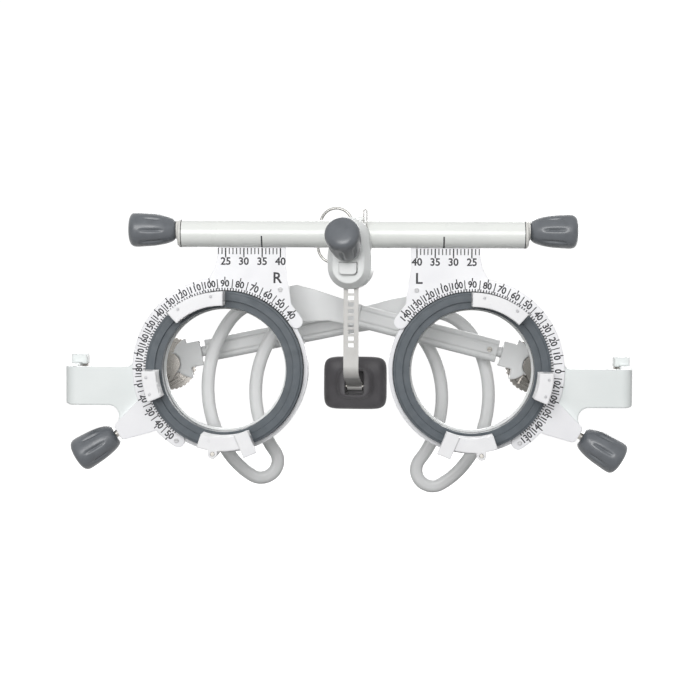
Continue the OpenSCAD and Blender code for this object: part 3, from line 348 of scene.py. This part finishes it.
# Radii and lengths in mm, from the lens axis out: the comb of degrees, the numbers, the long lines
# between them and the marks over them
COMB_IN, COMB_LONG, COMB_WIDE, COMB_STEP = 21.7, 0.7, 0.3, 2
DIGIT_R, DIGIT_TALL = 23.6, 1.82
HALF_IN, HALF_LONG, HALF_WIDE = 22.1, 2.7, 0.26
OUTER_IN, OUTER_LONG, OUTER_WIDE = 24.45, 0.95, 0.3
# Ends of each degree scale as seen from the front, anticlockwise from the viewer's right
SCALE_ENDS = {"left": (-52, 142), "right": (38, 232)}
# Millimetre rule in mm: its top and the middle of its numbers above the lens axis, its marks
RULE_TOP, RULE_DIGITS_AT, RULE_DIGIT_TALL = 33.3, 29.7, 2.05
RULE_LONG, RULE_WIDE, RULE_FIVE_LONG, RULE_FIVE_WIDE = 1.7, 0.28, 2.6, 0.34
RULE_FIRST, RULE_LAST, RULE_FIVES = 23, 40, (25, 30, 35, 40)
# The letter that names the eye, in mm: its middle noseward of the lens axis and above it, and
# how tall it is
LETTER_IN, LETTER_UP, LETTER_TALL = 14.5, 25.2, 3.0
# Distance in mm of each index line from the middle of the crossbar, half its width, and the
# degrees round the tube at which it is bent, from near the underside up the front
INDEX_AT, INDEX_HALF_WIDE, INDEX_BENDS = 24.8, 0.2, range(-88, -9, 6)
# Added to the outline of the letters in mm, and how tall the font's capitals are for its size
BOLD, CAPITAL = 0.075, 0.72
# How far the degrees' numbers are narrowed, and those of three figures
NARROW, NARROW_THREE = 0.95, 0.9


def geometry_tree(name, sizes):
    """Geometry Nodes tree with an input for each named size."""
    tree = bpy.data.node_groups.new(name, "GeometryNodeTree")
    tree.interface.new_socket("Geometry", in_out="INPUT", socket_type="NodeSocketGeometry")
    for label, value in sizes.items():
        kind = "NodeSocketInt" if isinstance(value, int) else "NodeSocketFloat"
        tree.interface.new_socket(label, in_out="INPUT", socket_type=kind).default_value = value
    tree.interface.new_socket("Geometry", in_out="OUTPUT", socket_type="NodeSocketGeometry")
    return tree, add(tree, "NodeGroupInput").outputs, add(tree, "NodeGroupOutput")


def stamped(tree, given, out, spot, size, turn):
    """A thin inked block at the spot of each mark, as many as the tree's Count."""
    line = add(tree, "GeometryNodeMeshLine", {"Count": given["Count"], "Offset": (0, 0, 0)})
    placed = add(tree, "GeometryNodeSetPosition", {
        "Geometry": line.outputs["Mesh"], "Position": spot.outputs[0]})
    block = add(tree, "GeometryNodeMeshCube", {"Size": size.outputs[0]})
    copies = add(tree, "GeometryNodeInstanceOnPoints", {
        "Points": placed.outputs["Geometry"], "Instance": block.outputs["Mesh"], "Rotation": turn})
    solid = add(tree, "GeometryNodeRealizeInstances", {"Geometry": copies.outputs[0]})
    inked = add(tree, "GeometryNodeSetMaterial", {
        "Geometry": solid.outputs[0], "Material": FINISH["ink"]})
    tree.links.new(inked.outputs[0], out.inputs[0])


def sum_of(tree, start, step, times):
    """start + step x times, the place of a mark or of its middle."""
    much = add(tree, "ShaderNodeMath", {0: step, 1: times}, operation="MULTIPLY")
    return add(tree, "ShaderNodeMath", {0: start, 1: much.outputs[0]}, operation="ADD").outputs[0]


def tick_fan_tree():
    """Marks of one size set round an arc, each turned to point at the centre."""
    tree, given, out = geometry_tree("tick fan", {
        "Count": 10, "Start Angle": 0.0, "Step Angle": 0.1,
        "Inner Radius": 0.02, "Length": 0.001, "Width": 0.0002})
    number = add(tree, "GeometryNodeInputIndex").outputs[0]
    angle = sum_of(tree, given["Start Angle"], given["Step Angle"], number)
    middle = sum_of(tree, given["Inner Radius"], given["Length"], 0.5)
    cosine = add(tree, "ShaderNodeMath", {0: angle}, operation="COSINE")
    sine = add(tree, "ShaderNodeMath", {0: angle}, operation="SINE")
    across = add(tree, "ShaderNodeMath", {0: cosine.outputs[0], 1: middle}, operation="MULTIPLY")
    up = add(tree, "ShaderNodeMath", {0: sine.outputs[0], 1: middle}, operation="MULTIPLY")
    spot = add(tree, "ShaderNodeCombineXYZ", {"X": across.outputs[0], "Z": up.outputs[0]})
    size = add(tree, "ShaderNodeCombineXYZ", {
        "X": given["Length"], "Y": PRINT_T, "Z": given["Width"]})
    back = add(tree, "ShaderNodeMath", {0: angle, 1: -1.0}, operation="MULTIPLY")
    turn = add(tree, "ShaderNodeCombineXYZ", {"Y": back.outputs[0]})
    stamped(tree, given, out, spot, size, turn.outputs[0])
    return tree


def rule_tree():
    """Upright marks of one size set along a straight line, level at their tops."""
    tree, given, out = geometry_tree("rule marks", {
        "Count": 10, "First": 0.0, "Pitch": 0.001, "Top": 0.03, "Length": 0.001, "Width": 0.0002})
    number = add(tree, "GeometryNodeInputIndex").outputs[0]
    across = sum_of(tree, given["First"], given["Pitch"], number)
    up = sum_of(tree, given["Top"], given["Length"], -0.5)
    spot = add(tree, "ShaderNodeCombineXYZ", {"X": across, "Z": up})
    size = add(tree, "ShaderNodeCombineXYZ", {
        "X": given["Width"], "Y": PRINT_T, "Z": given["Length"]})
    stamped(tree, given, out, spot, size, (0, 0, 0))
    return tree


def grown(tree, sizes):
    """Mesh that a tree makes with the given sizes."""
    seed = bpy.data.objects.new("seed", bpy.data.meshes.new("seed"))
    nodes = seed.modifiers.new("marks", "NODES")
    nodes.node_group = tree
    for item in tree.interface.items_tree:
        if item.item_type == "SOCKET" and item.in_out == "INPUT" and item.name in sizes:
            nodes[item.identifier] = sizes[item.name]
    return evaluated_mesh(seed)


def thickened(shape, extra):
    """Moves the outline of a flat word outwards, which makes its strokes bolder."""
    moves = {}
    for vert in shape.verts:
        rim = [edge for edge in vert.link_edges if edge.is_boundary]
        if len(rim) != 2:
            continue
        outward = []
        for edge in rim:
            start, end = (corner.co for corner in edge.verts)
            along = (end - start).normalized()
            away = Vector((along.y, -along.x, 0))
            inside = edge.link_faces[0].calc_center_median() - (start + end) / 2
            outward.append(-away if away.dot(inside) > 0 else away)
        spread = 1 + outward[0].dot(outward[1])
        moves[vert] = (outward[0] + outward[1]) * extra / max(spread, 0.6)
    for vert, move in moves.items():
        vert.co += move


def lettering(words, height_mm):
    """Thin solid word, centred on the origin in the XZ plane and facing forwards."""
    curve = bpy.data.curves.new("word", "FONT")
    curve.body = words
    curve.size = height_mm * MM / CAPITAL
    curve.align_x, curve.align_y = "CENTER", "CENTER"
    curve.resolution_u = 3
    mesh = evaluated_mesh(bpy.data.objects.new("word", curve))
    shape = bmesh.new()
    shape.from_mesh(mesh)
    bmesh.ops.remove_doubles(shape, verts=shape.verts, dist=1e-7)
    thickened(shape, BOLD * MM)
    low = [min(v.co[i] for v in shape.verts) for i in (0, 1)]
    high = [max(v.co[i] for v in shape.verts) for i in (0, 1)]
    middle = Vector(((low[0] + high[0]) / 2, (low[1] + high[1]) / 2, 0))
    bmesh.ops.translate(shape, verts=shape.verts, vec=-middle)
    walls = bmesh.ops.extrude_face_region(shape, geom=shape.faces[:])
    raised = [v for v in walls["geom"] if isinstance(v, bmesh.types.BMVert)]
    bmesh.ops.translate(shape, verts=raised, vec=(0, 0, PRINT_T))
    bmesh.ops.transform(shape, verts=shape.verts, matrix=Matrix.Rotation(math.pi / 2, 4, "X"))
    bmesh.ops.recalc_face_normals(shape, faces=shape.faces)
    shape.to_mesh(mesh)
    shape.free()
    return mesh


FAN, RULE = tick_fan_tree(), rule_tree()


def degree_scale(side):
    """A fine comb at the ring, numbers, long lines between them and short marks over them."""
    first, last = SCALE_ENDS[side]
    tens = [a for a in range(-50, 241, 10) if first <= a <= last]
    comb_count = (last - first) // COMB_STEP + 1
    parts = []
    for start, step, count, inner, length, width in (
            (first, COMB_STEP, comb_count, COMB_IN, COMB_LONG, COMB_WIDE),
            (tens[0] + 5, 10, len(tens) - 1, HALF_IN, HALF_LONG, HALF_WIDE),
            (tens[0], 10, len(tens), OUTER_IN, OUTER_LONG, OUTER_WIDE)):
        parts.append((grown(FAN, {
            "Count": count, "Start Angle": math.radians(start), "Step Angle": math.radians(step),
            "Inner Radius": inner * MM, "Length": length * MM, "Width": width * MM}), Matrix()))
    for a in tens:
        value = a % 180
        if value == 0:
            value = 180 if side == "right" else 0
        # The numbers below the middle stand with their heads towards the lens
        lean = Matrix.Rotation(-math.radians(a - 90 if 0 <= a <= 180 else a + 90), 4, "Y")
        spot = Matrix.Translation((DIGIT_R * MM * math.cos(math.radians(a)), PRINT_T / 2,
                                   DIGIT_R * MM * math.sin(math.radians(a))))
        narrowed = Matrix.Diagonal((NARROW_THREE if value > 99 else NARROW, 1, 1, 1))
        parts.append((lettering(str(value), DIGIT_TALL), spot @ lean @ narrowed))
    return parts


def millimetre_rule(side):
    """Rule under the crossbar, counted from the middle of the frame, and the eye's letter below."""
    nose = -EYES[side]
    marks = ((RULE_FIRST, RULE_LAST - RULE_FIRST + 1, 1, RULE_LONG, RULE_WIDE),
             (RULE_FIVES[0], len(RULE_FIVES), 5, RULE_FIVE_LONG, RULE_FIVE_WIDE))
    parts = []
    for first, count, pitch, length, width in marks:
        parts.append((grown(RULE, {
            "Count": count, "First": nose * (first - INDEX_AT) * MM, "Pitch": nose * pitch * MM,
            "Top": RULE_TOP * MM, "Length": length * MM, "Width": width * MM}), Matrix()))
    words = [(str(v), RULE_DIGIT_TALL, v - INDEX_AT, RULE_DIGITS_AT) for v in RULE_FIVES]
    words.append((side[0].upper(), LETTER_TALL, LETTER_IN, LETTER_UP))
    for word, tall, inwards, up in words:
        spot = Matrix.Translation((nose * inwards * MM, PRINT_T / 2, up * MM))
        parts.append((lettering(word, tall), spot))
    return parts


def scale_print(side):
    """All the printing of one plate as one piece, laid on the plate's front."""
    centre = lens_centre(side)
    on_plate = Matrix.Translation((centre.x, PLATE_FRONT - PRINT_T / 2, centre.z))
    whole = bmesh.new()
    for mesh, place in degree_scale(side) + millimetre_rule(side):
        mesh.transform(on_plate @ place)
        whole.from_mesh(mesh)
    for face in whole.faces:
        face.material_index = 0
    mounted(whole, "scale_print_" + side, "cell_carrier_" + side, FINISH["ink"])


for eye in EYES:
    scale_print(eye)


BAR_LOW, BAR_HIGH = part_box("crossbar_tube")
BAR_R = (BAR_HIGH[2] - BAR_LOW[2]) / 2
SEAM_WIDE, SEAM_STEPS = 0.24 * MM, 72


def index_lines():
    """Line on the crossbar over each rule, wrapped round the lower front of the tube."""
    arc = [math.radians(a) for a in INDEX_BENDS]
    shape = bmesh.new()
    for x in (-INDEX_AT, INDEX_AT):
        rows = []
        for grow in (0.0, PRINT_T):
            for across in (-INDEX_HALF_WIDE, INDEX_HALF_WIDE):
                rows.append([shape.verts.new((
                    (x + across) * MM, -(BAR_R + grow) * math.cos(a),
                    (BAR_R + grow) * math.sin(a))) for a in arc])
        inner_a, inner_b, outer_a, outer_b = rows
        for i in range(len(arc) - 1):
            for p, q in ((outer_a, outer_b), (inner_b, inner_a),
                         (inner_a, outer_a), (outer_b, inner_b)):
                shape.faces.new((p[i], p[i + 1], q[i + 1], q[i]))
        for i in (0, len(arc) - 1):
            shape.faces.new((inner_a[i], inner_b[i], outer_b[i], outer_a[i]))
    rounded_piece(shape, "index_lines", "frame", FINISH["ink"])


def cap_seams():
    """Painted shade of the hairline gap where each ivory cap meets the tube: a dark band, barely proud of both."""
    turns = [2 * math.pi * i / SEAM_STEPS for i in range(SEAM_STEPS)]
    shape = bmesh.new()
    for end in (BAR_LOW[0], BAR_HIGH[0]):
        rows = []
        for across, grow in ((-0.5, 0), (-0.5, PRINT_T), (0.5, PRINT_T), (0.5, 0)):
            rows.append([shape.verts.new((
                end + across * SEAM_WIDE, (BAR_R + grow) * math.cos(turn),
                (BAR_R + grow) * math.sin(turn))) for turn in turns])
        for row, after in zip(rows, rows[1:] + rows[:1]):
            bridged(shape, row, after)
    # The black ink finish paints the shade that falls into the gap at each cap
    rounded_piece(shape, "cap_seams", "frame", FINISH["ink"])


index_lines()
cap_seams()


# ---- Knobs and nose pad ----

# Outline of a knob from its neck to the crown of its end: shares of its length and greatest radius
KNOB_OUTLINE = [(0, 0.47), (0.02, 0.56), (0.05, 0.64), (0.115, 0.73), (0.23, 0.83), (0.35, 0.9),
                (0.465, 0.945), (0.58, 0.97), (0.7, 0.99), (0.8, 1.0), (0.87, 0.985),
                (0.915, 0.935), (0.95, 0.84), (0.975, 0.68), (0.992, 0.42), (1.0, 0.15)]
KNOB_STEPS, OUTLINE_STEPS = 176, 4
# Flutes: how many, depth and half width in mm, where they start and end as shares of the length,
# how fast they deepen from their ends, and how far the first is turned, as a share of their pitch
FLUTES, FLUTE_DEEP, FLUTE_HALF_WIDE = 8, 0.5, 0.42
FLUTE_FROM, FLUTE_TO, FLUTE_ENDS, FLUTE_SHIFT = 0.24, 0.74, 0.7, 0.42
KNOBS = {"pd_knob_right": "pd_knob_turn_right", "pd_knob_left": "pd_knob_turn_left",
         "bridge_knob": "bridge_knob_turn",
         "axis_knob_right": "axis_knob_turn_right", "axis_knob_left": "axis_knob_turn_left"}


def smooth_line(points, between):
    """Catmull-Rom curve through the points, with so many steps between each two."""
    line = []
    ends = [points[0]] + points + [points[-1]]
    for a, b, c, d in zip(ends, ends[1:], ends[2:], ends[3:]):
        for i in range(between):
            t = i / between
            line.append(tuple(
                0.5 * (2 * q + (r - p) * t + (2 * p - 5 * q + 4 * r - v) * t * t
                       + (3 * q - p - 3 * r + v) * t ** 3) for p, q, r, v in zip(a, b, c, d)))
    return line + [points[-1]]


def lofted(rows, start, end):
    """Closed mesh through rings of points, with a pole at each end."""
    shape = bmesh.new()
    rings = [[shape.verts.new(point) for point in row] for row in rows]
    for ring, after in zip(rings, rings[1:]):
        bridged(shape, ring, after)
    for pole, ring in ((shape.verts.new(start), rings[0]), (shape.verts.new(end), rings[-1])):
        for i in range(len(ring)):
            shape.faces.new((pole, ring[i], ring[(i + 1) % len(ring)]))
    return shape


def knob(node, joint_name):
    """Fluted barrel knob in place of its plain solid, turned about the joint's own axis."""
    joint = joint_named(joint_name)
    axis, foot = Vector(joint["axis"]).normalized(), Vector(joint["pos_m"])
    arms = [v.co - foot for v in frame["nodes"][node].data.vertices]
    heights = [arm.dot(axis) for arm in arms]
    radius = max((arm - axis * height).length for arm, height in zip(arms, heights))
    low, high = min(heights), max(heights)
    level = axis.cross(Vector((0, 0, 1)))
    side = (level if level.length > 0.3 else Vector((1, 0, 0))).normalized()
    up = side.cross(axis).normalized()
    pitch = 2 * math.pi / FLUTES
    rows = []
    for share, wide in smooth_line(KNOB_OUTLINE, OUTLINE_STEPS):
        along = min(max((share - FLUTE_FROM) / (FLUTE_TO - FLUTE_FROM), 0), 1)
        deep = FLUTE_DEEP * MM * math.sin(math.pi * along) ** FLUTE_ENDS
        centre = foot + axis * (low + (high - low) * share)
        row = []
        for i in range(KNOB_STEPS):
            angle = 2 * math.pi * i / KNOB_STEPS
            off = (angle / pitch + FLUTE_SHIFT) % 1 - 0.5
            away = off * pitch * radius / (FLUTE_HALF_WIDE * MM)
            reach = radius * wide - deep * math.exp(-away * away)
            row.append(centre + (side * math.cos(angle) + up * math.sin(angle)) * reach)
        rows.append(row)
    shape = lofted(rows, foot + axis * low, foot + axis * high)
    piece = rounded_piece(
        shape, node + "_fluted", joint["child"], FINISH["knob_slate"])
    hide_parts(node)


# Rings of the nose pad in mm, from its back to the floor of its pocket:
# half width, half height, distance behind the front, how square, and height of the middle
PAD_RINGS = [
    (5.0, 4.0, 4.9, 3, 0), (7.6, 6.3, 4.8, 5, 0), (8.45, 7.05, 4.4, 6, 0),
    (8.8, 7.35, 3.4, 6, 0), (8.8, 7.35, 2.5, 6, 0), (8.6, 7.2, 1.6, 6, 0),
    (8.0, 6.75, 0.9, 5.5, 0), (6.8, 5.8, 0.4, 4.6, 0), (5.6, 4.9, 0.05, 3.8, 0),
    (5.1, 4.5, -0.2, 3.4, 0.1), (4.85, 4.3, -0.6, 3.2, 0.1),
    (4.6, 4.15, -1.0, 3.2, 0.1), (4.2, 4.0, -1.3, 3.4, 0.15), (3.3, 3.7, -1.4, 5, 0.2),
    (2.75, 3.45, -1.4, 9, 0.2), (2.5, 3.3, -1.2, 14, 0.2), (2.45, 3.25, 0.8, 16, 0.2),
    (2.45, 3.25, 2.8, 16, 0.2)]
PAD_STEPS = 112
# How far the pad's front lies before its pin, and its middle above the pin, in mm
PAD_BEFORE_PIN, PAD_ABOVE_PIN = 1.0, 0.8


def nose_pad():
    """Soft pad: sides that fall away, a rounded boss and the pocket that takes the strap."""
    joint = joint_named("pad_tilt")
    across = Vector(joint["axis"]).normalized()
    up = Vector((0, 0, 1))
    back = up.cross(across)
    middle = Vector(joint["pos_m"]) - back * PAD_BEFORE_PIN * MM + up * PAD_ABOVE_PIN * MM
    rows = []
    for wide, tall, behind, square, raised in PAD_RINGS:
        row = []
        for i in range(PAD_STEPS):
            turn = 2 * math.pi * i / PAD_STEPS
            c, d = math.cos(turn), math.sin(turn)
            x = math.copysign(abs(c) ** (2 / square), c) * wide
            z = math.copysign(abs(d) ** (2 / square), d) * tall + raised
            row.append(middle + (across * x + back * behind + up * z) * MM)
        rows.append(row)
    poles = [middle + (back * behind + up * raised) * MM
             for _, _, behind, _, raised in (PAD_RINGS[0], PAD_RINGS[-1])]
    shape = lofted(rows, *poles)
    piece = rounded_piece(shape, "nose_pad_soft", "nose_pad", FINISH["pad_grey"])
    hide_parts("nose_pad")


for knob_node, knob_joint in KNOBS.items():
    knob(knob_node, knob_joint)
nose_pad()


# ---- Camera, floor and light ----

# Camera: distance to the plates and half the width it sees there, in mm; the point it looks at,
# beside the frame's middle and above the lens axis, in mm; how far it stands up and aside and is
# rolled, in degrees
CAMERA_AWAY, SEEN_HALF_WIDE = 500, 95.85
LOOK_X, LOOK_UP = -0.65, 5.52
CAMERA_UP, CAMERA_ASIDE, CAMERA_ROLL = 2.7, 1.2, 0.27
# Floor sheet in metres: drop below the object, radius of its sweep, how far it runs back, to the
# front and to each side, and how high it stands behind
FLOOR_DROP, SWEEP_R, FLOOR_BACK, FLOOR_FRONT = 0.09, 0.5, 1.2, -2.5
FLOOR_HALF_WIDE, SHEET_TALL = 3.0, 3.0
# What the lamps are aimed at
AIM = (0, 0, -0.035)
# Where the sky is brightest
SKY_WAY = (0, -0.95, 0.3)


def stand_camera():
    """Portrait lens half a metre off, looking slightly down on the scale plates."""
    look = Vector((LOOK_X * MM, PLATE_FRONT, lens_centre("left").z + LOOK_UP * MM))
    up, aside = math.radians(CAMERA_UP), math.radians(CAMERA_ASIDE)
    lens = bpy.data.cameras.new("camera")
    lens.sensor_width = 36
    lens.lens = lens.sensor_width / 2 * CAMERA_AWAY / SEEN_HALF_WIDE
    lens.clip_start, lens.clip_end = 0.01, 20
    camera = bpy.data.objects.new("camera", lens)
    bpy.context.collection.objects.link(camera)
    way = Vector((math.sin(aside) * math.cos(up), -math.cos(aside) * math.cos(up), math.sin(up)))
    stand = look + way * CAMERA_AWAY * MM
    facing = (look - stand).to_track_quat("-Z", "Y").to_matrix().to_4x4()
    roll = Matrix.Rotation(math.radians(CAMERA_ROLL), 4, "Z")
    camera.matrix_world = Matrix.Translation(stand) @ facing @ roll
    bpy.context.scene.camera = camera


def looked_at(tree):
    """1 for what the camera, a gloss or a glass sees, 0 for the light that falls on the object."""
    path = add(tree, "ShaderNodeLightPath")
    either = add(tree, "ShaderNodeMath", {
        0: path.outputs["Is Camera Ray"], 1: path.outputs["Is Glossy Ray"]}, operation="MAXIMUM")
    any_of = add(tree, "ShaderNodeMath", {
        0: either.outputs[0], 1: path.outputs["Is Transmission Ray"]}, operation="MAXIMUM")
    return any_of.outputs[0]


def studio_paper(lit, seen, glow):
    """Paper that lights the object as a dark grey and is looked at as white with a soft shadow."""
    made, tree, out = bare_material("studio paper")
    dull = add(tree, "ShaderNodeBsdfDiffuse", {"Color": ink(lit)})
    pale = add(tree, "ShaderNodeBsdfDiffuse", {"Color": ink(seen)})
    shine = add(tree, "ShaderNodeEmission", {"Color": ink("#ffffff"), "Strength": glow})
    bright = add(tree, "ShaderNodeAddShader", {0: pale.outputs[0], 1: shine.outputs[0]})
    mix = add(tree, "ShaderNodeMixShader", {
        0: looked_at(tree), 1: dull.outputs[0], 2: bright.outputs[0]})
    tree.links.new(mix.outputs[0], out.inputs[0])
    return made


def lay_floor():
    """One pale sheet: floor under the frame, swept up behind it."""
    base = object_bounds()[0][2] - FLOOR_DROP
    sweep = [math.radians(a) for a in range(10, 91, 10)]
    profile = [(FLOOR_FRONT, 0.0), (FLOOR_BACK, 0.0)]
    profile += [(FLOOR_BACK + SWEEP_R * math.sin(a), SWEEP_R * (1 - math.cos(a))) for a in sweep]
    profile += [(FLOOR_BACK + SWEEP_R, SHEET_TALL)]
    shape = bmesh.new()
    rows = [[shape.verts.new((x, y, base + z)) for x in (-FLOOR_HALF_WIDE, FLOOR_HALF_WIDE)]
            for y, z in profile]
    for a, b in zip(rows, rows[1:]):
        shape.faces.new((a[0], a[1], b[1], b[0]))
    bmesh.ops.recalc_face_normals(shape, faces=shape.faces)
    mesh = bpy.data.meshes.new("studio_sweep")
    shape.to_mesh(mesh)
    shape.free()
    mesh.materials.append(studio_paper("#3c3c3c", "#8c8c8c", 0.93))
    sheet = bpy.data.objects.new("studio_sweep", mesh)
    bpy.context.collection.objects.link(sheet)


def lamp(name, place, size, watts):
    """Square lamp aimed at the object, its place and size in metres."""
    light = bpy.data.lights.new(name, "AREA")
    light.shape, light.size, light.energy = "SQUARE", size, watts
    holder = bpy.data.objects.new(name, light)
    bpy.context.collection.objects.link(holder)
    holder.location = place
    holder.rotation_mode = "QUATERNION"
    holder.rotation_quaternion = (Vector(AIM) - Vector(place)).to_track_quat("-Z", "Y")


def light_sky():
    """World that lights from the front and above, and is looked at as white."""
    world = bpy.data.worlds.new("studio")
    world.use_nodes = True
    bpy.context.scene.world = world
    tree = world.node_tree
    way = add(tree, "ShaderNodeTexCoord")
    facing = add(tree, "ShaderNodeVectorMath", {
        0: way.outputs["Generated"], 1: SKY_WAY}, operation="DOT_PRODUCT")
    share = add(tree, "ShaderNodeMapRange", {
        "Value": facing.outputs["Value"], "From Min": -1.0, "From Max": 1.0})
    ramp = add(tree, "ShaderNodeValToRGB", {"Fac": share.outputs["Result"]})
    for stop, position, shade in zip(ramp.color_ramp.elements, (0.35, 0.9), ("#808080", "#ffffff")):
        stop.position = position
        stop.color = ink(shade)
    sky = tree.nodes["Background"]
    sky.inputs["Strength"].default_value = 0.7
    tree.links.new(ramp.outputs["Color"], sky.inputs["Color"])
    white = add(tree, "ShaderNodeBackground", {"Color": ink("#ffffff"), "Strength": 1.0})
    mix = add(tree, "ShaderNodeMixShader", {
        0: looked_at(tree), 1: sky.outputs[0], 2: white.outputs[0]})
    tree.links.new(mix.outputs[0], tree.nodes["World Output"].inputs["Surface"])


bpy.context.scene.view_settings.view_transform = "Standard"
stand_camera()
lay_floor()
lamp("key", (-0.1, -0.91, 0.21), 0.5, 5.6)
lamp("back", (0.1, 0.95, 0.3), 0.8, 8.0)
light_sky()
